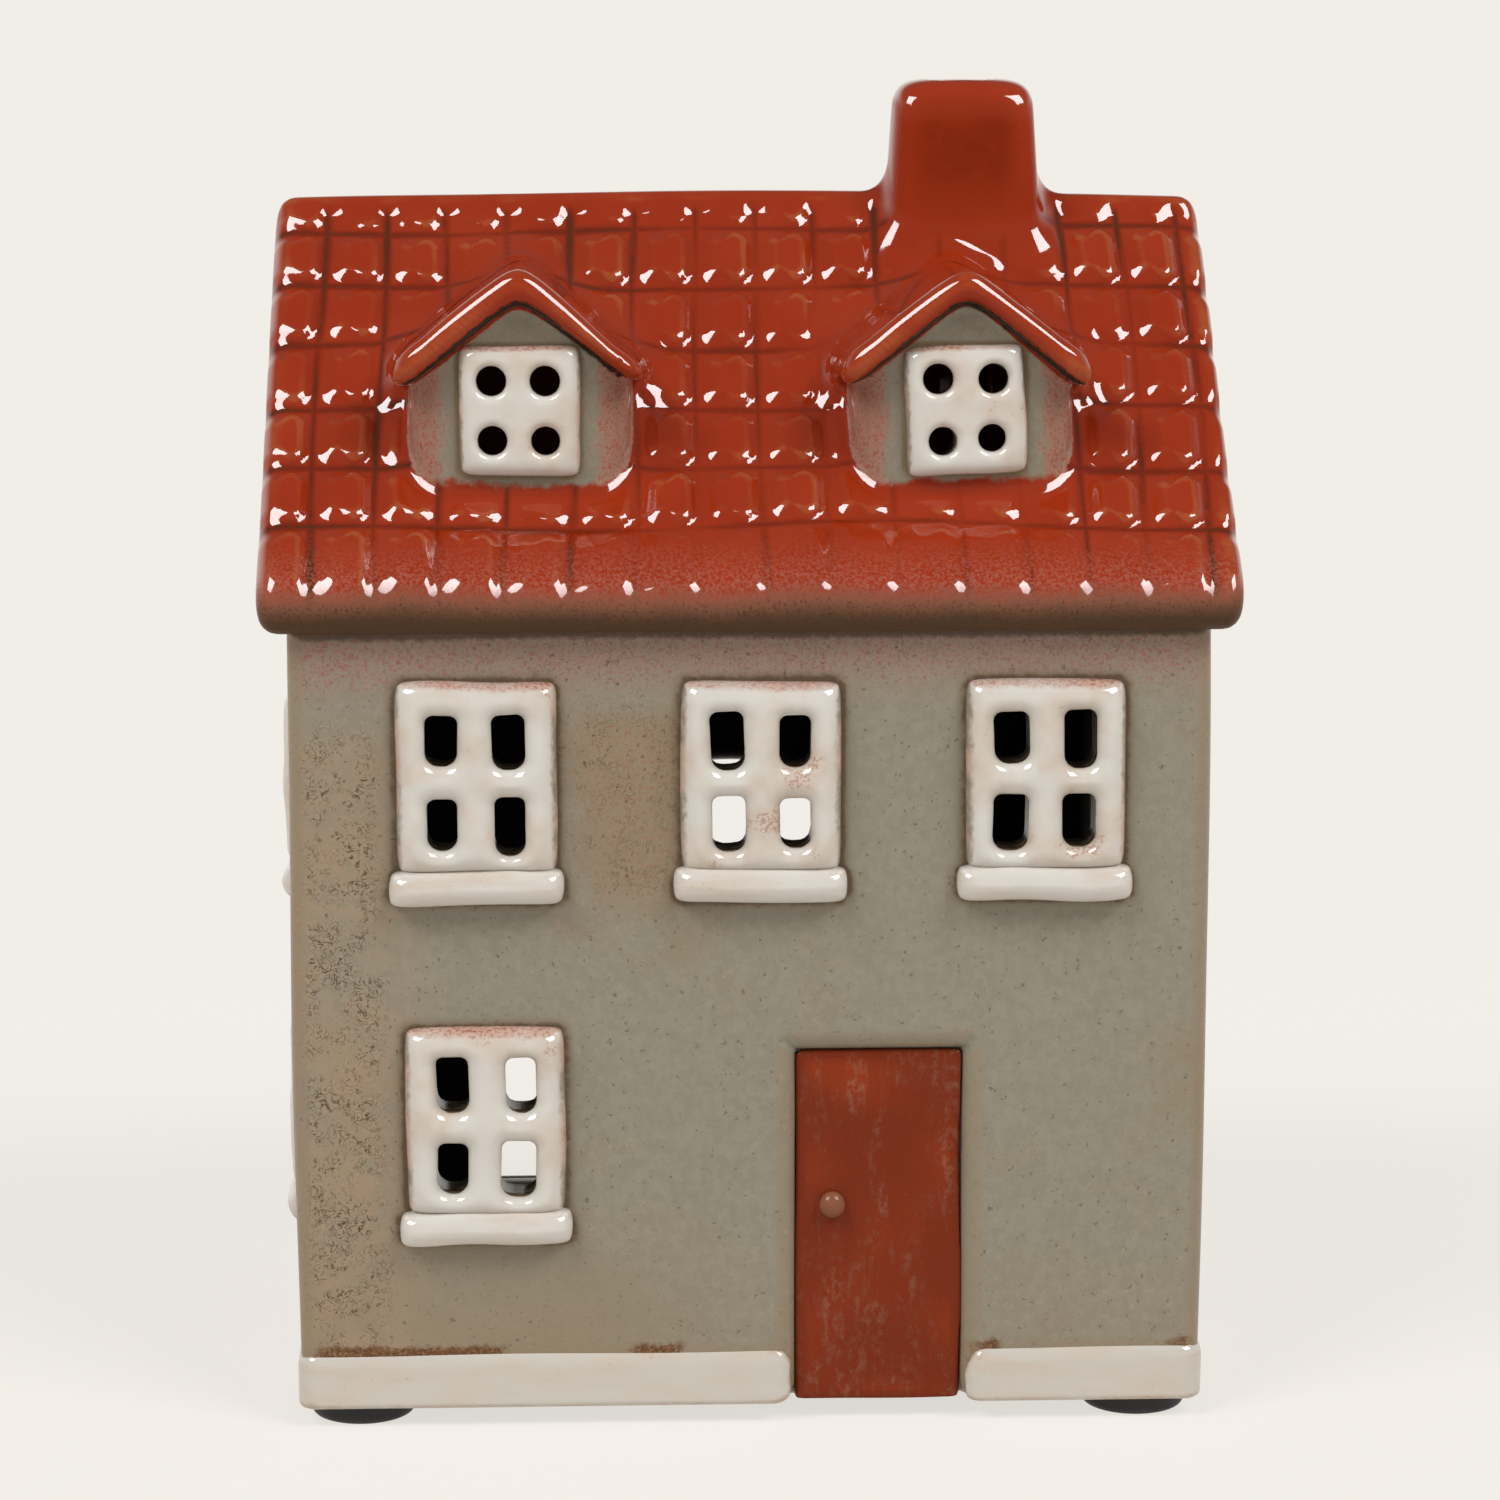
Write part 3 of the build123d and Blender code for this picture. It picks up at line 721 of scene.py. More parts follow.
class WallForm:
    """The four walls as one soft-cornered shell with its door recess, panes and arch."""

    def __init__(self):
        self.sway = wobble(11, 0.10, 45.0)
        door_low, door_high = corners("door_panel")
        self.door_x = (door_low[0] + door_high[0]) / 2
        self.door_half = (door_high[0] - door_low[0]) / 2 + 0.15
        self.door_top = door_high[2] + 0.15
        self.door_back = door_high[1]
        self.cuts = {name: window_cut(i) for i, name in enumerate(WINDOWS)}
        self.frames = {name: wall_frame(name) for name in WINDOWS}

    def panes(self, x, y, z):
        """The holes behind all windows."""
        holes = FAR
        for name in WINDOWS:
            origin, right, _, _ = self.frames[name]
            u = (x - origin[0]) * right[0] + (y - origin[1]) * right[1]
            hole = pane_field(self.cuts[name], u, z - origin[2], 0.30)
            if right[0]:
                hole = np.maximum(hole, y + HOUSE.inner_y - 2)
            else:
                hole = np.maximum(hole, HOUSE.inner_x - 2 - x * np.sign(origin[0]))
            holes = np.minimum(holes, hole)
        return holes

    def back_arch(self, x, y, z):
        """The opening in the back wall that lets the tealight in."""
        arch = np.sqrt(x * x + np.maximum(z - ARCH_SPRING_Z, 0) ** 2) - ARCH_HALF_WIDTH
        arch = np.maximum(arch, HOUSE.floor_z - z)
        return np.maximum(arch, HOUSE.inner_y - 3 - y)

    def clay(self, x, y, z):
        """The whole shell, with its openings."""
        sway = self.sway(x, y, z)
        height = np.clip((z - HOUSE.base_z) / (HOUSE.crease_z - HOUSE.base_z), 0, 1)
        swell = 0.15 + (SIDE_SWELL - 0.05) * np.sin(np.pi * height)
        outer = rounded_rect(x, y, HOUSE.half_width + swell, HOUSE.half_depth, 2.0) + 0.08 + sway
        fall = np.abs(y) * math.sin(HOUSE.pitch)
        under = fall + (z - HOUSE.inner_apex_z) * math.cos(HOUSE.pitch) - 0.6
        inside = rounded_rect(x, y, HOUSE.inner_x, HOUSE.inner_y, 2.5)
        body = smooth_max(outer, HOUSE.base_z - z, 1.2)
        body = smooth_max(body, under, 0.6)
        body = smooth_max(body, -inside, 1.0)
        recess = np.maximum(np.abs(x - self.door_x) - self.door_half, z - self.door_top)
        recess = np.maximum(recess, y - self.door_back)
        body = smooth_max(body, -recess, 2.8)
        body = smooth_max(body, -self.panes(x, y, z), 0.7)
        return smooth_max(body, -self.back_arch(x, y, z), 2.6)

    def pooling_and_shade(self, points):
        """Nearness to a window or sill, from 0 to 1, where the wall glaze pools olive brown and painted
        shade darkens the wall round the frames.
        """
        near = np.full(len(points), FAR)
        for name in WINDOWS:
            origin, right, _, out = self.frames[name]
            local = points - np.array(origin)
            u = local @ np.array(right, float)
            depth = local @ np.array(out, float)
            frame_gap = rounded_rect(u, local[:, 2], *FRAME_HALF, 1.0)
            sill_gap = rounded_rect(u, local[:, 2] + SILL_DROP, *SILL_HALF, 1.0)
            gap = np.maximum(np.minimum(frame_gap, sill_gap), 0) + 4 * np.maximum(-depth - 1.5, 0)
            near = np.minimum(near, gap)
        return np.exp(-near / 1.6)


def build_walls():
    form = WallForm()
    low = (-HOUSE.half_width - 0.6, -HOUSE.half_depth, HOUSE.base_z)
    high = (HOUSE.half_width + 0.6, HOUSE.half_depth, HOUSE.inner_apex_z + 1)
    net = lay_net(form.clay, low, high, settings().clay.wall_cell * MM, bend_step=0.9)
    net.marks["pooling_and_shade"] = form.pooling_and_shade(net.points)
    x, y, _ = np.abs(net.points.T)
    inset = np.maximum(x - HOUSE.half_width, y - HOUSE.half_depth)
    net.marks["inside"] = smooth_step(-4.6, -5.7, inset)
    piece = add_mesh("walls", net)
    nodes = ["front_wall", "back_wall", "left_wall", "right_wall"]
    finish_piece(piece, wall_glaze(), nodes)


# Windows, sills and dormer windows

def frame_net(name, index):
    """A window frame: a soft slab with four hand-cut panes, in its wall's frame."""
    low, high = corners(f"window_{name}")
    size = np.sort(high - low)
    thick, half_u, half_w = size[0], size[1] / 2, size[2] / 2
    cuts = window_cut(index)
    sway_u = wobble(300 + index, 0.10, 15.0)
    sway_w = wobble(330 + index, 0.10, 15.0)
    sway_n = wobble(360 + index, 0.10, 9.0)

    def field(u, w, n):
        du = u + sway_u(u, w, 0 * n)
        dw = w + sway_w(u, w, 0 * n)
        slab = soft_rect(du, dw, half_u - 0.08, half_w - 0.05, 1.6)
        face = n - thick + 0.1 + sway_n(u, w, 0 * n)
        body = smooth_max(slab, face, 3.0)
        body = smooth_max(body, -n - SUNK, 0.6)
        return smooth_max(body, -pane_field(cuts, u, w, 0.0), 2.3)

    low, high = (-half_u, -half_w, -SUNK), (half_u, half_w, thick)
    net = lay_net(field, low, high, settings().clay.trim_cell * MM)
    u, w, _ = net.points.T
    return mark_edges(net, pane_field(cuts, u, w, 0.0), thick)


def mark_edges(net, gap, thick):
    """Marks a frame's upper edge, its flanks and the walls of its panes, which lie gap away."""
    n = net.points[:, 2]
    net.marks["deep"] = smooth_step(0.35, 0.0, gap) * smooth_step(thick - 1.0, thick - 2.1, n)
    outer = smooth_step(0.6, 1.8, gap)
    net.marks["top"] = np.clip(net.normals[:, 1], 0, 1) * outer
    net.marks["flank"] = np.abs(net.normals[:, 0]) * outer
    return net


def sill_net(name, index):
    """A sill: a rolled strip pressed on under a frame, drawn in its wall's frame."""
    low, high = corners(f"sill_{name}")
    size = np.sort(high - low)
    thick, half_w, half_u = size[0], size[1] / 2, size[2] / 2
    sway_u = wobble(400 + index, 0.10, 13.0)
    sway_w = wobble(430 + index, 0.13, 14.0)

    def field(u, w, n):
        dw = w + sway_w(u, 0 * w, 0 * n)
        strip = soft_rect(u + sway_u(u, w, n), dw - 0.3, half_u - 0.1, half_w + 0.35, 1.5)
        body = smooth_max(strip, n - thick + 0.1 + sway_u(u, 0 * w, 0 * n), 2.8)
        return smooth_max(body, -n - SUNK, 0.6)

    low, high = (-half_u, -half_w, -SUNK), (half_u, half_w + 0.9, thick)
    return lay_net(field, low, high, settings().clay.trim_cell * MM)


def build_windows():
    glaze = white_glaze("sill_glaze", settings().glaze.white)
    stained = frame_glaze()
    for index, name in enumerate(WINDOWS):
        origin, *ways = wall_frame(name)
        pane = add_mesh(f"frame_{name}", place_net(frame_net(name, index), origin, *ways))
        finish_piece(pane, stained, [f"window_{name}"])
        spot = (origin[0], origin[1], middle(f"sill_{name}")[2])
        ledge = add_mesh(f"ledge_{name}", place_net(sill_net(name, index), spot, *ways))
        finish_piece(ledge, glaze, [f"sill_{name}"])


def plate_net(side, index):
    """A dormer's window plate with four round lights, in the dormer's own frame."""
    light, step, rise, cell = in_mm(settings().clay, "light", "light_step", "light_rise", "trim_cell")
    low, high = corners(f"dormer_{side}_window")
    half_u = (high[0] - low[0]) / 2
    half_w = (high[2] - low[2]) / 2
    thick = high[1] - low[1]
    turn = (0.0, -0.045)[index]
    rng = np.random.default_rng(500 + index)
    jitter = rng.uniform(-0.3, 0.3, (4, 3))
    sway = wobble(520 + index, 0.10, 9.0)

    def lights(u, w):
        holes = FAR
        for hole, (i, k) in enumerate(((-1, -1), (-1, 1), (1, -1), (1, 1))):
            du = u - i * step / 2 - jitter[hole, 0]
            dw = w - k * rise / 2 - jitter[hole, 1]
            radius = light / 2 + 0.3 * jitter[hole, 2]
            holes = np.minimum(holes, np.sqrt(du * du + dw * dw) - radius)
        return holes

    def field(u, w, n):
        turned_u = u - turn * w
        turned_w = w + turn * u
        soft_u = turned_u + sway(u, w, 0 * n)
        soft_w = turned_w + sway(w, u, 0 * n)
        slab = soft_rect(soft_u, soft_w, half_u - 0.05, half_w - 0.05, 1.6)
        body = smooth_max(slab, n - thick + 0.1 + sway(u, w, 0 * n) * 0.6, 2.0)
        body = smooth_max(body, -n - SUNK, 0.6)
        return smooth_max(body, -lights(turned_u, turned_w), 1.1)

    low, high = (-half_u, -half_w, -SUNK), (half_u, half_w, thick)
    net = lay_net(field, low, high, cell)
    u, w, _ = net.points.T
    return mark_edges(net, lights(u - turn * w, w + turn * u), thick)


def build_dormer_windows():
    glaze = frame_glaze()
    for index, side in enumerate(DORMERS):
        spot = middle(f"dormer_{side}_window")
        back = corners(f"dormer_{side}_window")[1][1]
        net = place_net(plate_net(side, index), (spot[0], back, spot[2]), *FRONT)
        plate = add_mesh(f"dormer_lights_{side}", net)
        finish_piece(plate, glaze, [f"dormer_{side}_window"])


# Door

def build_door():
    hues = settings().glaze
    low, high = corners("door_panel")
    half_u = (high[0] - low[0]) / 2
    half_w = (high[2] - low[2]) / 2
    thick = high[1] - low[1]
    sway = wobble(61, 0.14, 16.0)
    swell = wobble(62, 0.07, 12.0)

    def panel(u, w, n):
        slab = rounded_rect(u + sway(u, w, 0 * n), w - 0.1, half_u + 0.35, half_w + 0.15, 0.9)
        body = smooth_max(slab, n - thick + 0.35 + swell(u, w, 0 * n), 0.9)
        return smooth_max(body, -n, 0.3)

    origin = ((low[0] + high[0]) / 2, high[1], (low[2] + high[2]) / 2)
    low, high = (-half_u - 0.5, -half_w, 0), (half_u + 0.5, half_w + 0.3, thick)
    net = lay_net(panel, low, high, settings().clay.trim_cell * MM * 1.3)
    door = add_mesh("door", place_net(net, origin, *FRONT))
    finish_piece(door, door_glaze("door_glaze", hues.door), ["door_panel"])

    knob_low, knob_high = corners("door_knob")
    radius = (knob_high[0] - knob_low[0]) / 2 * 1.15
    reach = knob_high[1] - knob_low[1]

    def ball(u, w, n):
        dome = np.sqrt(u * u + w * w + (n * radius / reach) ** 2) - radius + 0.03
        skirt = np.sqrt(u * u + w * w) - radius
        return np.maximum(smooth_max(dome, skirt, 0.3), -n - 0.4)

    net = lay_net(ball, (-radius, -radius, -0.4), (radius, radius, reach), 0.16, bend_step=0.3)
    spot = middle("door_knob")
    knob = add_mesh("knob", place_net(net, (spot[0], knob_high[1], spot[2]), *FRONT))
    finish_piece(knob, door_glaze("knob_glaze", hues.knob), ["door_knob"])


# Plinth

def build_plinth():
    glaze = white_glaze("plinth_glaze", settings().glaze.plinth)
    sway = wobble(71, 0.22, 17.0)
    for index, name in enumerate(PLINTHS):
        low, high = corners(name)
        ends = wobble(80 + index, 0.5, 6.0)

        def strip(x, y, z):
            outer = rounded_rect(x, y, HOUSE.half_width + 0.5, HOUSE.half_depth + 0.5, 2.5)
            inner = rounded_rect(x, y, HOUSE.half_width - 1.5, HOUSE.half_depth - 1.5, 1.6)
            band = smooth_max(outer + 0.06 + 0.3 * sway(x, y, z), -inner, 0.5)
            band = smooth_max(band, z - high[2] + 0.3 + sway(x, y, 0 * z), 1.8)
            band = smooth_max(band, low[2] - z, 0.9)
            side = np.maximum(low[1] - y, y - high[1])
            if name.startswith("plinth_front"):
                end = x - high[0] if name == "plinth_front_left" else low[0] - x
                band = smooth_max(band, end + 0.15 + np.abs(ends(x * 0, y, z)), 2.4)
                side = y - high[1]
            if name == "plinth_back":
                way = np.maximum(np.abs(x) - ARCH_HALF_WIDTH, HOUSE.floor_z - z)
                band = smooth_max(band, -way, 1.2)
                side = low[1] - y
            return smooth_max(band, side, 0.3)

        net = lay_net(strip, low, high, settings().clay.trim_cell * MM * 1.35)
        finish_piece(add_mesh(f"band_{name}", net), glaze, [name])


# Tealight

def lathe(name, profile, turns, flute=0.0, flutes=0):
    """Turns a closed profile about the tealight's axis.

    A profile's points give radius and height in millimetres, and the share of the flutes they take."""
    axis = middle("tealight_cup")
    mesh = bmesh.new()
    rings = []
    for step in range(turns):
        angle = 2 * math.pi * step / turns
        ring = []
        for radius, height, share in profile:
            r = radius + share * flute * (0.5 + 0.5 * math.cos(flutes * angle) - 1)
            spot = (axis[0] + r * math.cos(angle), axis[1] + r * math.sin(angle), height)
            ring.append(mesh.verts.new(Vector(spot) / MM))
        rings.append(ring)
    for step in range(turns):
        here, there = rings[step], rings[(step + 1) % turns]
        for k in range(len(profile)):
            nxt = (k + 1) % len(profile)
            mesh.faces.new((here[k], there[k], there[nxt], here[nxt]))
    bmesh.ops.remove_doubles(mesh, verts=mesh.verts, dist=1e-7)
    bmesh.ops.recalc_face_normals(mesh, faces=mesh.faces)
    data = bpy.data.meshes.new(name)
    mesh.to_mesh(data)
    mesh.free()
    data.polygons.foreach_set("use_smooth", [True] * len(data.polygons))
    piece = bpy.data.objects.new(name, data)
    bpy.context.scene.collection.objects.link(piece)
    return piece


def build_tealight():
    low, high = corners("tealight_cup")
    radius = (high[0] - low[0]) / 2
    wall = 0.4
    floor = low[2]
    top = high[2]
    cup_profile = [
        (0.0, floor, 0),
        (radius - 2.2, floor, 0),
        (radius - 1.3, floor + 0.25, 0.5),
        (radius - 0.75, floor + 1.0, 1),
        (radius - 0.7, floor + 4.0, 1),
        (radius - 0.65, top - 3.0, 1),
        (radius - 0.65, top - 1.4, 0.2),
        (radius - 0.1, top - 1.0, 0),
        (radius, top - 0.5, 0),
        (radius - 0.15, top - 0.05, 0),
        (radius - 0.45, top, 0),
        (radius - 0.75, top - 0.3, 0),
        (radius - 0.9 - wall, top - 1.4, 0.2),
        (radius - 1.0 - wall, top - 3.0, 1),
        (radius - 1.1 - wall, floor + 4.0, 1),
        (radius - 1.2 - wall, floor + 1.3, 1),
        (radius - 2.4, floor + wall, 0),
        (0.0, floor + wall, 0),
    ]
    cup = lathe("cup", cup_profile, 192, flute=0.5, flutes=32)
    finish_piece(cup, cup_metal(), ["tealight_cup"], TEALIGHT_BODY)

    wax_low, wax_high = corners("tealight_wax")
    wick_low, wick_high = corners("tealight_wick")
    wick_radius = (wick_high[0] - wick_low[0]) / 2
    level = wax_high[2]
    bottom = wax_low[2] + 0.5
    inner = radius - 2.6
    wax_profile = [
        (wick_radius + 0.15, bottom, 0),
        (inner, bottom, 0),
        (inner + 0.55, bottom + 1.0, 0),
        (inner + 0.85, level - 1.2, 0),
        (inner + 0.85, level - 0.2, 0),
        (inner + 0.55, level - 0.02, 0),
        (inner - 0.6, level - 0.35, 0),
        (inner - 4.0, level - 0.55, 0),
        (7.0, level - 0.75, 0),
        (3.0, level - 0.95, 0),
        (1.9, level - 0.7, 0),
        (wick_radius + 0.15, level - 0.35, 0),
    ]
    wax = lathe("wax_cake", wax_profile, 96)
    finish_piece(wax, candle_wax(), ["tealight_wax"], TEALIGHT_BODY)

    wick_top = wick_high[2]
    start = wick_low[2]
    steps = 26
    wick_profile = [(0.0, start, 0)]
    for step in range(steps + 1):
        share = step / steps
        bulge = 0.07 * math.cos(share * steps * 2.1)
        wick_profile.append((wick_radius - 0.18 + bulge, start + share * (wick_top - start - 0.3), 1))
    wick_profile.append((wick_radius * 0.4, wick_top, 0))
    wick_profile.append((0.0, wick_top, 0))
    wick = lathe("wick", wick_profile, 36, flute=0.22, flutes=6)
    finish_piece(wick, wick_cotton(), ["tealight_wick"], TEALIGHT_BODY)


# Shader maths

class Value:
    """A number socket of a node tree, so that shader maths reads as sums."""

    def __init__(self, paint, socket):
        self.paint = paint
        self.socket = socket

    def math(self, operation, first, second):
        sockets = {0: first, 1: second}
        return self.paint.node("ShaderNodeMath", {"operation": operation}, sockets)

    def __add__(self, other):
        return self.math("ADD", self, other)

    def __radd__(self, other):
        return self.math("ADD", other, self)

    def __sub__(self, other):
        return self.math("SUBTRACT", self, other)

    def __rsub__(self, other):
        return self.math("SUBTRACT", other, self)

    def __mul__(self, other):
        return self.math("MULTIPLY", self, other)

    def __rmul__(self, other):
        return self.math("MULTIPLY", other, self)

    def lower(self, other):
        return self.math("MINIMUM", self, other)

    def higher(self, other):
        return self.math("MAXIMUM", self, other)


class Paint:
    """The node tree of one material, or of the world."""

    def __init__(self, owner):
        owner.use_nodes = True
        self.owner = owner
        self.tree = owner.node_tree
        self.tree.nodes.clear()

    def node(self, kind, settings, sockets, output=0):
        """Adds a node: its settings first, then its sockets' values or links. Gives one output."""
        node = self.tree.nodes.new(kind)
        for key, value in settings.items():
            setattr(node, key, value)
        for key, value in sockets.items():
            if isinstance(value, Value):
                self.tree.links.new(value.socket, node.inputs[key])
            else:
                node.inputs[key].default_value = value
        return Value(self, node.outputs[output]) if node.outputs else None

    def place(self, scale=MM):
        """Where a point lies on the house, in millimetres unless scaled otherwise."""
        spot = self.node("ShaderNodeTexCoord", {}, {}, "Object")
        return self.node("ShaderNodeVectorMath", {"operation": "SCALE"}, {0: spot, "Scale": scale})

    def stretch(self, place, scale):
        """A place scaled along each axis: small numbers draw a pattern out."""
        return self.node("ShaderNodeVectorMath", {"operation": "MULTIPLY"}, {0: place, 1: scale})

    def size(self, value):
        """A number without its sign."""
        return self.node("ShaderNodeMath", {"operation": "ABSOLUTE"}, {0: value})

    def axes(self, place):
        split = self.node("ShaderNodeSeparateXYZ", {}, {0: place})
        outputs = split.socket.node.outputs
        return [Value(self, socket) for socket in outputs]

    def mark(self, name):
        """A mark that the clay's net carries."""
        return self.node("ShaderNodeAttribute", {"attribute_name": name}, {}, "Fac")

    def facing_up(self):
        """How far the skin faces upwards, from -1 to 1."""
        way = self.node("ShaderNodeNewGeometry", {}, {}, "Normal")
        return self.axes(way)[2]

    def noise(self, place, scale, detail=3.0, roughness=0.55, distortion=0.0):
        sockets = {
            "Vector": place, "Scale": scale, "Detail": detail,
            "Roughness": roughness, "Distortion": distortion,
        }
        return self.node("ShaderNodeTexNoise", {}, sockets, "Fac")

    def cells(self, place, scale):
        return self.node("ShaderNodeTexVoronoi", {}, {"Vector": place, "Scale": scale}, "Distance")

    def ease(self, value, low, high, start=0.0, end=1.0):
        """A smooth step from start at low to end at high."""
        sockets = {0: value, 1: low, 2: high, 3: start, 4: end}
        return self.node("ShaderNodeMapRange", {"interpolation_type": "SMOOTHSTEP"}, sockets)

    def mix(self, share, first, second):
        """A colour between two."""
        sockets = {0: share, 6: shade(first), 7: shade(second)}
        return self.node("ShaderNodeMix", {"data_type": "RGBA"}, sockets, 2)

    def bump(self, height, depth, strength):
        """A Bump node: a height of 0 to 1 stands for depth in millimetres."""
        sockets = {"Height": height, "Distance": depth / MM, "Strength": strength}
        return self.node("ShaderNodeBump", {}, sockets)

    def principled(self, sockets):
        shader = self.node("ShaderNodeBsdfPrincipled", {}, sockets)
        self.node("ShaderNodeOutputMaterial", {}, {"Surface": shader})
        return self.owner


def new_paint(name):
    return Paint(bpy.data.materials.new(name))


def shade(value):
    """A plain colour with its alpha, or a socket as it is."""
    if isinstance(value, Value):
        return value
    return (*tuple(value)[:3], 1.0)


# Glazes and finishes

UNDER_INDEX = 1.15  # of the body under a clear glaze, which adds little shine of its own
WALL_INDEX = 1.42
GLAZE_INDEX = 1.72
GLAZE_ROUGHNESS = 0.05
STACK_X = middle("chimney")[0]
DORMER_FOOT_Z = corners("dormer_left_window")[0][2] - 1.6
# Where burnt glaze lies on the plinth, in millimetres across the front
CRUST_SPANS = ((-50.7, -28.6), (-13.8, -8.1), (25.9, 29.3), (49.2, 51.5))


def roof_glaze():
    """Clear red over tiles, breaking tan on their edges, with the dormers' grey and the dull eave."""
    hues = settings().glaze
    p = new_paint("roof_glaze")
    place = p.place()
    x, _, z = p.axes(place)
    edge = p.mark("edge")
    grey = p.mark("grey")
    flank = p.mark("flank")
    seam = p.mark("seam")
    joint = p.mark("joint")
    crease = p.mark("crease")
    cloud = p.noise(place, 0.09, 3.0)
    grain = p.noise(place, 0.9, 5.0, 0.65)
    fine = p.noise(place, 2.6, 4.0, 0.7)
    thin = p.ease(edge + (grain - 0.5) * 0.4, 0.26, 0.80) * p.ease(cloud, 0.40, 0.62, 0.15, 0.80)
    pool = p.ease(joint.higher(crease) + (grain - 0.5) * 0.25, 0.18, 0.85)
    red = p.mix(p.ease(cloud, 0.35, 0.7), hues.roof, hues.roof_light)
    red = p.mix(pool * 0.70, red, hues.roof_deep)
    red = p.mix(thin * 0.50, red, hues.roof_thin)
    ragged = joint.higher(crease * 0.8) + (grain - 0.5) * 0.6
    crack = p.ease(ragged + (cloud - 0.5) * 0.5, 0.60, 1.05)
    red = p.mix(crack * 0.85, red, hues.crack)
    beside = p.size(x - STACK_X) + (grain - 0.5) * 3
    stack = p.ease(z, 138.0, 146.0) * p.ease(z, 154.0, 149.0) * p.ease(beside, 8.2, 3.5)
    smoky = p.mix(p.ease(cloud + (grain - 0.5) * 0.4, 0.35, 0.65), hues.stack, hues.stack_deep)
    red = p.mix(stack, red, smoky)
    low = z - HOUSE.crease_z + (grain - 0.5) * 2.0 + (cloud - 0.5) * 2.0
    milky = p.ease(low, 11.5, 5.0) * p.ease(fine, 0.42, 0.60)
    red = p.mix(milky * 0.55, red, hues.blush)
    dull = p.ease(low, 6.6, 3.4)
    # The eave band goes from pink brown at its edge to dark brown lower down and under the eaves, with dark
    # specks.
    dust = p.mix(p.ease(low, 4.8, 1.6), hues.eave_blush, hues.eave)
    dust = p.mix(p.ease(fine + (grain - 0.5) * 0.3, 0.52, 0.64) * 0.75, dust, hues.eave_speck)
    red = p.mix(dull, red, dust)
    foot = z - DORMER_FOOT_Z + (p.noise(place, 0.16, 3.0) - 0.5) * 5 + (grain - 0.5) * 1.5
    patch = p.ease(grey + (grain - 0.5) * 0.7, 0.40, 0.62) * p.ease(foot, 0.2, 1.3)
    streak = p.noise(p.stretch(place, (1.0, 1.0, 0.35)), 0.8, 4.0, 0.7)
    rosy = p.ease(flank + (streak - 0.5) * 1.3, 0.25, 0.80)
    speck = p.ease(fine + (grain - 0.5) * 0.4, 0.50, 0.62) * (0.25 + rosy * 0.6)
    stone = p.mix(p.ease(grain, 0.35, 0.65), hues.wall, hues.wall_pale)
    stone = p.mix(rosy * 0.6, stone, hues.blush)
    stone = p.mix(speck, stone, hues.rust)
    base = p.mix(patch, red, stone)
    burnt = p.ease(seam + (grain - 0.5) * 0.9, 0.42, 0.80) * p.ease(z, 117.0, 120.0)
    base = p.mix(burnt, base, hues.burnt)
    # Painted shadow: olive brown on the grey dormer wall round the plate.
    pool_and_shade_ring = p.ease(p.mark("pooling_and_shade") + (grain - 0.5) * 0.6, 0.45, 0.95) * patch
    base = p.mix(pool_and_shade_ring * 0.8, base, hues.wall_pool_and_shade)
    rough = 0.05 + grain * 0.04 + dull * 0.26 + patch * 0.10
    gloss = p.ease(p.facing_up(), 0.10, 0.42, 0.12, 1.0) * (1 - dull * 0.92) * (1 - patch * 0.35)
    bubble = p.ease(p.cells(place, 0.30), 0.045, 0.0)
    height = bubble * 0.8 + p.noise(place, 0.5, 2.0) * 0.4 + fine * dull * 0.4
    return p.principled({
        "Base Color": base, "Roughness": rough, "IOR": UNDER_INDEX, "Coat Weight": gloss,
        "Coat IOR": GLAZE_INDEX, "Coat Roughness": GLAZE_ROUGHNESS, "Normal": p.bump(height, 0.10, 0.6),
    })


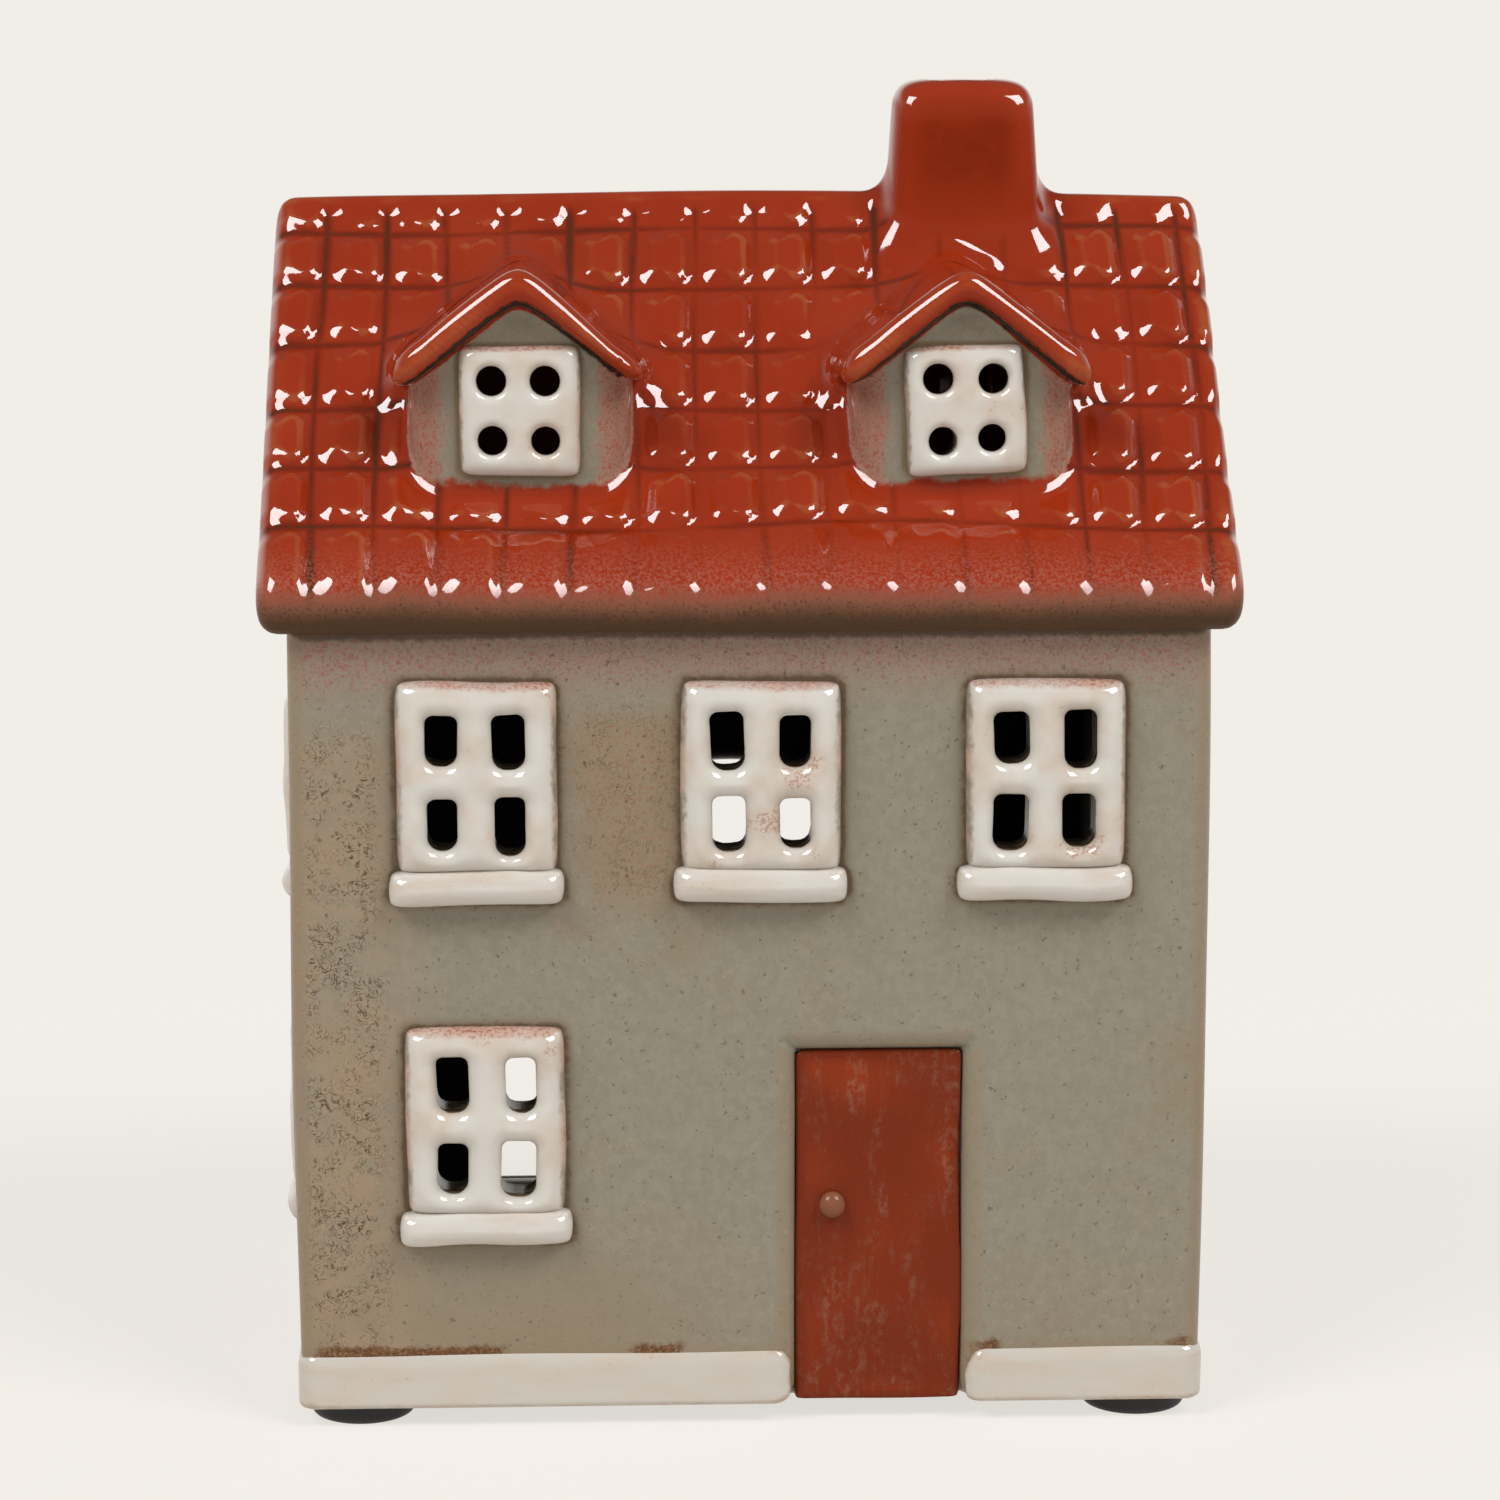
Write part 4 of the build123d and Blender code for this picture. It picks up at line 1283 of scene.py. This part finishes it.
def wall_glaze():
    """Satin grey green with brown bloom, iron flecks and a pink blush under the eaves."""
    hues = settings().glaze
    p = new_paint("wall_glaze")
    place = p.place()
    x, y, z = p.axes(place)
    edge = p.mark("edge")
    pooling_and_shade = p.mark("pooling_and_shade")
    inside = p.mark("inside")
    cloud = p.noise(place, 0.035, 4.0, 0.6)
    drift = p.noise(place, 0.09, 4.0, 0.6, 0.5)
    grain = p.noise(place, 0.8, 5.0, 0.7)
    fine = p.noise(place, 2.4, 5.0, 0.75)
    worm = p.noise(place, 0.95, 2.0, 0.55, 1.3)
    spots = p.noise(place, 1.5, 3.0, 0.6)
    front = p.ease(y, -20.0, -34.0)
    sway = (drift - 0.5) * 14
    strip = p.ease(x + sway, -35.0, -44.0) * p.ease(z + sway * 0.5, 86.0, 78.0) * front
    patch = p.ease(x + sway, -23.0, -17.0) * p.ease(x + sway, -4.0, -9.0)
    patch = patch * p.ease(z + sway, 56.0, 68.0) * p.ease(z, 87.0, 82.0) * front
    foot = p.ease(z + sway * 0.4, 30.0, 11.0) * p.ease(x + sway, 4.0, -22.0, 0.15, 0.75) * front
    bloom = (p.ease(cloud + (drift - 0.5) * 0.4, 0.56, 0.74) * 0.7).higher(foot).higher(patch)
    base = p.mix(p.ease(grain, 0.35, 0.65), hues.wall, hues.wall_pale)
    base = p.mix(bloom * 0.80, base, hues.wall_warm)
    stain = strip * p.ease(drift + (grain - 0.5) * 0.5, 0.34, 0.62, 0.25, 0.85)
    base = p.mix(stain, base, hues.wall_stain)
    under_roof = z + p.size(y) * math.tan(HOUSE.pitch) - HOUSE.inner_apex_z
    eave = under_roof + (drift - 0.5) * 5
    mauve = p.ease(eave, -8.5, -2.0)
    base = p.mix(mauve * 0.8, base, hues.mauve)
    rust = p.ease(fine, 0.50, 0.62) * p.ease(eave, -11.0, -2.0, 0.0, 0.75).higher(patch * 0.5)
    base = p.mix(rust, base, hues.rust)
    # Painted shade and pooled glaze: the wall goes olive brown round the windows and sills.
    pool_and_shade_ring = p.ease(pooling_and_shade + (grain - 0.5) * 0.5, 0.42, 0.95)
    base = p.mix(pool_and_shade_ring * 0.7, base, hues.wall_pool_and_shade)
    flock = p.ease(p.noise(place, 0.22, 3.0, 0.6), 0.38, 0.56)
    line = p.ease(p.size(worm - 0.5), 0.046, 0.012) * p.ease(grain, 0.38, 0.52)
    dots = p.ease(spots, 0.645, 0.70)
    core = p.ease(x + sway * 0.4, -41.0, -44.5) * p.ease(x, -52.3, -50.0) * strip
    flecked = core + strip * 0.1 + patch * 0.40 + bloom * 0.15 + mauve * 0.40
    fleck = line * flock * flecked.lower(1.0)
    fleck = fleck.higher(dots * (0.55 + strip * 0.2 + patch * 0.2 + mauve * 0.2).lower(1.0))
    base = p.mix(fleck * 0.9, base, hues.fleck)
    # Painted shade: a dark brown line in the crevice where frames and sills meet the wall.
    crevice_shade = p.ease(pooling_and_shade + (grain - 0.5) * 0.45, 0.70, 0.94)
    base = p.mix(crevice_shade * 0.7, base, hues.fleck)
    ragged = x + (grain - 0.5) * 6
    spans = [p.ease(ragged, a - 1, a + 1) * p.ease(ragged, b + 1, b - 1) for a, b in CRUST_SPANS]
    crust = spans[0]
    for span in spans[1:]:
        crust = crust.higher(span)
    crust = crust * p.ease(y, -30.0, -36.0)
    rim = p.ease(z - HOUSE.plinth_z + (grain - 0.5) * 2.2, 0.75, 0.0)
    base = p.mix(rim * 0.5, base, hues.wall_warm)
    scorch = p.mix(p.ease(fine, 0.46, 0.62), hues.crust, hues.fleck)
    base = p.mix(crust * rim * p.ease(fine, 0.34, 0.50, 0.2, 0.95), base, scorch)
    thin = p.ease(edge + (grain - 0.5) * 0.3, 0.14, 0.45)
    base = p.mix(thin * 0.55, base, hues.wall_warm)
    # Painted shade: dark brown along the top of the walls, in the seam under the roof.
    gap = p.ease(under_roof + (grain - 0.5) * 1.2, -0.9, -0.2)
    base = p.mix(gap * 0.8, base, hues.fleck)
    # Painted shade: the inner faces of the walls take the near-black clay of the dim inside.
    clay = p.mix(p.ease(grain, 0.35, 0.65), hues.clay, hues.clay_shade_darker)
    base = p.mix(inside, base, clay)
    rough = 0.20 + grain * 0.10 + bloom * 0.08 + crust * rim * 0.3 + inside * 0.5
    height = p.noise(place, 0.35, 3.0) * 0.6 + fine * 0.25
    return p.principled({
        "Base Color": base, "Roughness": rough, "IOR": WALL_INDEX, "Normal": p.bump(height, 0.12, 0.5),
    })


def glossy(p, base, rough, gloss, normal):
    """A coloured body under a clear coat that is dulled where it faces the dark room."""
    return p.principled({
        "Base Color": base, "Roughness": rough, "IOR": UNDER_INDEX, "Normal": normal,
        "Coat Weight": gloss * p.ease(p.facing_up(), 0.10, 0.42, 0.25, 1.0), "Coat IOR": GLAZE_INDEX,
        "Coat Roughness": GLAZE_ROUGHNESS,
    })


def white_glaze(name, white):
    """Warm glossy white with faint drags and brown specks."""
    hues = settings().glaze
    p = new_paint(name)
    place = p.place()
    edge = p.mark("edge")
    drag = p.noise(p.stretch(place, (0.35, 0.35, 1.4)), 0.28, 4.0, 0.6)
    grain = p.noise(place, 0.9, 4.0, 0.65)
    fine = p.noise(place, 2.6, 4.0, 0.7)
    base = p.mix(p.ease(drag, 0.40, 0.70) * 0.7, white, hues.white_drag)
    thin = p.ease(edge + (grain - 0.5) * 0.9 + (drag - 0.5) * 1.2, 0.75, 1.5)
    base = p.mix(thin * 0.6, base, hues.white_thin)
    speck = p.ease(fine + (drag - 0.5) * 0.5, 0.68, 0.76)
    base = p.mix(speck * 0.5, base, hues.wall_pool_and_shade)
    rough = 0.16 + grain * 0.08 + thin * 0.10
    height = p.noise(place, 0.45, 3.0) * 0.7 + fine * 0.12
    return glossy(p, base, rough, 1.0 - thin * 0.3, p.bump(height, 0.10, 0.45))


def frame_glaze():
    """White glaze on window frames: red flecks on the upper edge, brown flanks, and pane walls tan to near
    black with burnt glaze and painted shade.
    """
    hues = settings().glaze
    p = new_paint("frame_glaze")
    place = p.place()
    top = p.mark("top")
    flank = p.mark("flank")
    deep = p.mark("deep")
    cloud = p.noise(place, 0.12, 3.0, 0.6)
    grain = p.noise(place, 0.9, 4.0, 0.65)
    fine = p.noise(place, 2.2, 4.0, 0.7)
    base = p.mix(p.ease(cloud, 0.42, 0.68) * 0.85, hues.white, hues.white_drag)
    crown = p.ease(top + (grain - 0.5) * 0.5, 0.52, 0.86)
    tint = p.mix(p.ease(fine, 0.46, 0.60), hues.frame_pink, hues.rust)
    base = p.mix(crown * p.ease(cloud, 0.34, 0.62, 0.45, 0.85), base, tint)
    side = p.ease(flank + (grain - 0.5) * 0.6, 0.62, 0.98)
    smear = p.mix(p.ease(cloud, 0.45, 0.58), hues.wall_pool_and_shade, hues.frame_pink)
    base = p.mix(side * 0.75, base, smear)
    spot = p.ease(fine + (cloud - 0.5) * 0.9, 0.66, 0.72) * p.ease(cloud, 0.58, 0.68)
    base = p.mix(spot * 0.5, base, hues.rust)
    # Painted shade with burnt glaze: the walls of the panes and round lights go tan to near black.
    burnt_and_shaded_pane_wall = p.mix(p.ease(grain, 0.40, 0.62), hues.pane_tan, hues.burnt)
    base = p.mix(p.ease(deep + (grain - 0.5) * 0.5, 0.25, 0.75), base, burnt_and_shaded_pane_wall)
    rough = 0.14 + grain * 0.06 + crown * 0.06 + deep * 0.3
    height = p.noise(place, 0.45, 3.0) * 0.6 + fine * 0.12
    return glossy(p, base, rough, 1.0 - deep * 0.9, p.bump(height, 0.09, 0.45))


def door_glaze(name, hue):
    """Deep red or tan with fine milky streaks down it."""
    hues = settings().glaze
    p = new_paint(name)
    place = p.place()
    edge = p.mark("edge")
    streak = p.noise(p.stretch(place, (1.0, 1.0, 0.16)), 0.42, 3.0, 0.6)
    cloud = p.noise(place, 0.14, 3.0)
    grain = p.noise(p.stretch(place, (1.0, 1.0, 0.7)), 1.1, 5.0, 0.75)
    fine = p.noise(place, 2.6, 4.0, 0.7)
    milky = p.ease(streak + (cloud - 0.5) * 0.5, 0.44, 0.66) * p.ease(grain, 0.44, 0.66)
    base = p.mix(milky * 0.75, hue, hues.door_milk)
    base = p.mix(p.ease(fine, 0.62, 0.72) * 0.5, base, hues.door_milk)
    # Painted shade: the rims of the door and knob darken where they meet the recess and the door.
    base = p.mix(p.ease(edge + (grain - 0.5) * 0.4, 0.4, 1.1) * 0.6, base, hues.door_rim_shade)
    height = grain * 0.5 + p.noise(place, 0.3, 2.0) * 0.5
    return glossy(p, base, 0.30 + grain * 0.12, 0.25 + milky * 0.2, p.bump(height, 0.12, 0.5))


def grainy(name, noise, tints, span, rough, bump, more=None):
    """A plain finish: one grain that tints, roughens and raises the skin."""
    p = new_paint(name)
    grain = p.noise(p.place(), *noise)
    share = p.ease(grain, *span) if span else grain
    sockets = {
        "Base Color": p.mix(share, *tints),
        "Roughness": rough[0] + grain * rough[1],
        "Normal": p.bump(grain, *bump),
    }
    return p.principled({**sockets, **(more or {})})


def bare_clay():
    """Unglazed clay, painted near black as the shade inside the house."""
    tints = settings().glaze.clay, (0.090, 0.066, 0.050)
    return grainy("bare_clay", (0.7, 5.0, 0.7), tints, (0.35, 0.65), (0.75, 0.15), (0.15, 0.6))


def foot_rubber():
    """Black rubber with a trace of dust."""
    tints = settings().glaze.rubber, (0.018, 0.016, 0.013)
    dusty = (0.55, 0.75, 0.0, 0.5)
    return grainy("foot_rubber", (1.4, 4.0, 0.7), tints, dusty, (0.42, 0.2), (0.05, 0.5))


def cup_metal():
    """Thin drawn aluminium."""
    tints = (0.78, 0.78, 0.77), (0.66, 0.66, 0.65)
    metal = {"Metallic": 1.0}
    return grainy("cup_metal", (0.5, 4.0, 0.6), tints, (0.4, 0.65), (0.24, 0.14), (0.06, 0.5), metal)


def wick_cotton():
    """Waxed cotton braid."""
    tints = (0.62, 0.57, 0.47), (0.42, 0.37, 0.29)
    return grainy("wick_cotton", (2.0, 4.0, 0.7), tints, (0.35, 0.7), (0.6, 0.2), (0.12, 0.8))


def wick_steel():
    """Tinned steel of the wick's foot."""
    tints = (0.55, 0.55, 0.54), (0.42, 0.42, 0.41)
    metal = {"Metallic": 1.0}
    return grainy("wick_foot_steel", (1.0, 4.0, 0.6), tints, None, (0.3, 0.15), (0.05, 0.4), metal)


def candle_wax():
    """White paraffin, a little frosted."""
    p = new_paint("candle_wax")
    place = p.place()
    cloud = p.noise(place, 0.16, 3.0)
    grain = p.noise(place, 1.1, 4.0, 0.6)
    base = p.mix(p.ease(cloud, 0.35, 0.65), (0.80, 0.78, 0.72), (0.72, 0.695, 0.63))
    return p.principled({
        "Base Color": base, "Roughness": 0.34 + grain * 0.12, "Subsurface Weight": 0.15,
        "Subsurface Radius": (0.004, 0.003, 0.002), "Normal": p.bump(grain, 0.08, 0.5),
    })


def finish_nodes():
    """Finishes for the CAD nodes that keep their own shape."""
    finishes = {"floor_slab": bare_clay(), "tealight_wick_foot": wick_steel()}
    rubber = foot_rubber()
    for foot in FEET:
        finishes[foot] = rubber
    for name, material in finishes.items():
        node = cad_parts[name]
        node.data.materials.clear()
        node.data.materials.append(material)


# Stage

def add_camera():
    stage = settings().stage
    data = bpy.data.cameras.new("camera")
    data.lens = stage.lens
    data.sensor_width = 36.0
    data.clip_start = 0.01
    data.clip_end = 50.0
    camera = bpy.data.objects.new("camera", data)
    forward = Vector((
        math.sin(stage.heading) * math.cos(stage.dip),
        math.cos(stage.heading) * math.cos(stage.dip),
        -math.sin(stage.dip),
    ))
    camera.location = stage.eye
    camera.rotation_euler = forward.to_track_quat("-Z", "Y").to_euler()
    bpy.context.scene.collection.objects.link(camera)
    bpy.context.scene.camera = camera


def add_softbox(name, side):
    stage = settings().stage
    data = bpy.data.lights.new(name, "AREA")
    data.shape = "SQUARE"
    data.size = stage.lamp_side
    data.energy = stage.lamp_power
    lamp = bpy.data.objects.new(name, data)
    toward = Vector((
        side * math.sin(stage.lamp_turn) * math.cos(stage.lamp_rise),
        -math.cos(stage.lamp_turn) * math.cos(stage.lamp_rise),
        math.sin(stage.lamp_rise),
    ))
    lamp.location = toward * stage.lamp_distance + Vector((0, 0, 0.08))
    lamp.rotation_euler = (-toward).to_track_quat("-Z", "Y").to_euler()
    bpy.context.scene.collection.objects.link(lamp)


def floor_paint():
    """Pale paper that keeps the house's shadow near it and fades to the plain surround."""
    hue = settings().glaze.backdrop
    p = new_paint("studio_floor")
    place = p.place(1.0)
    away = p.node("ShaderNodeVectorMath", {"operation": "LENGTH"}, {0: place}, "Value")
    rays = p.node("ShaderNodeLightPath", {}, {})
    outputs = rays.socket.node.outputs
    seen = Value(p, outputs["Is Camera Ray"]) + Value(p, outputs["Is Glossy Ray"])
    seen = (seen + Value(p, outputs["Is Transmission Ray"])).lower(1.0)
    share = seen * p.ease(away, 0.10, 0.40, 0.80, 1.0)
    grain = p.noise(place, 900.0, 3.0)
    tint = p.mix(grain * 0.3, hue, (hue[0] * 0.985, hue[1] * 0.985, hue[2] * 0.985))
    paper = p.node("ShaderNodeBsdfDiffuse", {}, {"Color": tint})
    glow = p.node("ShaderNodeEmission", {}, {"Color": shade(hue), "Strength": 1.0})
    shader = p.node("ShaderNodeMixShader", {}, {0: share, 1: paper, 2: glow})
    p.node("ShaderNodeOutputMaterial", {}, {"Surface": shader})
    return p.owner


def add_floor():
    mesh = bmesh.new()
    bmesh.ops.create_circle(mesh, cap_ends=True, segments=96, radius=6.0)
    data = bpy.data.meshes.new("studio_floor")
    mesh.to_mesh(data)
    mesh.free()
    floor = bpy.data.objects.new("studio_floor", data)
    floor.data.materials.append(floor_paint())
    bpy.context.scene.collection.objects.link(floor)


def add_world():
    """A pale surround behind the house, a dark room on the camera's side and overhead."""
    p = Paint(bpy.data.worlds.new("studio"))
    way = p.node("ShaderNodeTexCoord", {}, {}, "Generated")
    _, y, z = p.axes(way)
    behind = p.ease(y, -0.25, 0.35)
    high = p.ease(z, math.sin(math.radians(13)), math.sin(math.radians(42)))
    around = p.mix(behind, (0.34, 0.33, 0.32), settings().glaze.backdrop)
    tint = p.mix(high, around, (0.09, 0.09, 0.09))
    glow = p.node("ShaderNodeBackground", {}, {"Color": tint})
    p.node("ShaderNodeOutputWorld", {}, {"Surface": glow})
    bpy.context.scene.world = p.owner


def build_stage():
    add_camera()
    add_softbox("softbox_left", -1)
    add_softbox("softbox_right", 1)
    add_floor()
    add_world()
    bpy.context.scene.view_settings.view_transform = "Standard"


# Operators, panel and registration

class HOUSE_OT_walls(bpy.types.Operator):
    """Lays the glazed walls over their CAD slabs"""
    bl_idname = "tealight_house.walls"
    bl_label = "Walls"

    def execute(self, context):
        build_walls()
        return {"FINISHED"}


class HOUSE_OT_roof(bpy.types.Operator):
    """Lays the tiled roof with its chimney and dormers"""
    bl_idname = "tealight_house.roof"
    bl_label = "Roof, chimney and dormers"

    def execute(self, context):
        build_roof()
        return {"FINISHED"}


class HOUSE_OT_dormer_windows(bpy.types.Operator):
    """Sets the plates with round lights into the dormers"""
    bl_idname = "tealight_house.dormer_windows"
    bl_label = "Dormer windows"

    def execute(self, context):
        build_dormer_windows()
        return {"FINISHED"}


class HOUSE_OT_windows(bpy.types.Operator):
    """Presses the window frames and sills onto the walls"""
    bl_idname = "tealight_house.windows"
    bl_label = "Windows and sills"

    def execute(self, context):
        build_windows()
        return {"FINISHED"}


class HOUSE_OT_door(bpy.types.Operator):
    """Sets the door and its knob into the recess"""
    bl_idname = "tealight_house.door"
    bl_label = "Door and knob"

    def execute(self, context):
        build_door()
        return {"FINISHED"}


class HOUSE_OT_plinth(bpy.types.Operator):
    """Lays the white band round the foot of the walls"""
    bl_idname = "tealight_house.plinth"
    bl_label = "Plinth"

    def execute(self, context):
        build_plinth()
        return {"FINISHED"}


class HOUSE_OT_tealight(bpy.types.Operator):
    """Makes the tealight's cup, wax and wick"""
    bl_idname = "tealight_house.tealight"
    bl_label = "Tealight"

    def execute(self, context):
        build_tealight()
        return {"FINISHED"}


class HOUSE_OT_plain_nodes(bpy.types.Operator):
    """Gives the feet, the floor slab and the wick's foot their finishes"""
    bl_idname = "tealight_house.plain_nodes"
    bl_label = "Feet and floor"

    def execute(self, context):
        finish_nodes()
        return {"FINISHED"}


class HOUSE_OT_stage(bpy.types.Operator):
    """Adds the camera, the softboxes, the floor and the surround"""
    bl_idname = "tealight_house.stage"
    bl_label = "Stage"

    def execute(self, context):
        build_stage()
        return {"FINISHED"}


OPERATORS = (
    HOUSE_OT_walls, HOUSE_OT_roof, HOUSE_OT_dormer_windows, HOUSE_OT_windows, HOUSE_OT_door,
    HOUSE_OT_plinth, HOUSE_OT_tealight, HOUSE_OT_plain_nodes, HOUSE_OT_stage,
)


class HOUSE_PT_panel(bpy.types.Panel):
    """Lists the house's pieces"""
    bl_idname = "HOUSE_PT_panel"
    bl_label = "Tealight house"
    bl_space_type = "VIEW_3D"
    bl_region_type = "UI"
    bl_category = "Tealight house"

    def draw(self, context):
        for operator in OPERATORS:
            self.layout.operator(operator.bl_idname)


CLASSES = (TileSizes, ClaySizes, GlazeColours, StageSettings, HouseSettings, *OPERATORS, HOUSE_PT_panel)


def register():
    for cls in CLASSES:
        bpy.utils.register_class(cls)
    bpy.types.Scene.tealight_house = PointerProperty(type=HouseSettings)


def unregister():
    del bpy.types.Scene.tealight_house
    for cls in reversed(CLASSES):
        bpy.utils.unregister_class(cls)


def main():
    register()
    for operator in OPERATORS:
        group, name = operator.bl_idname.split(".")
        getattr(getattr(bpy.ops, group), name)()


if __name__ == "__main__":
    main()
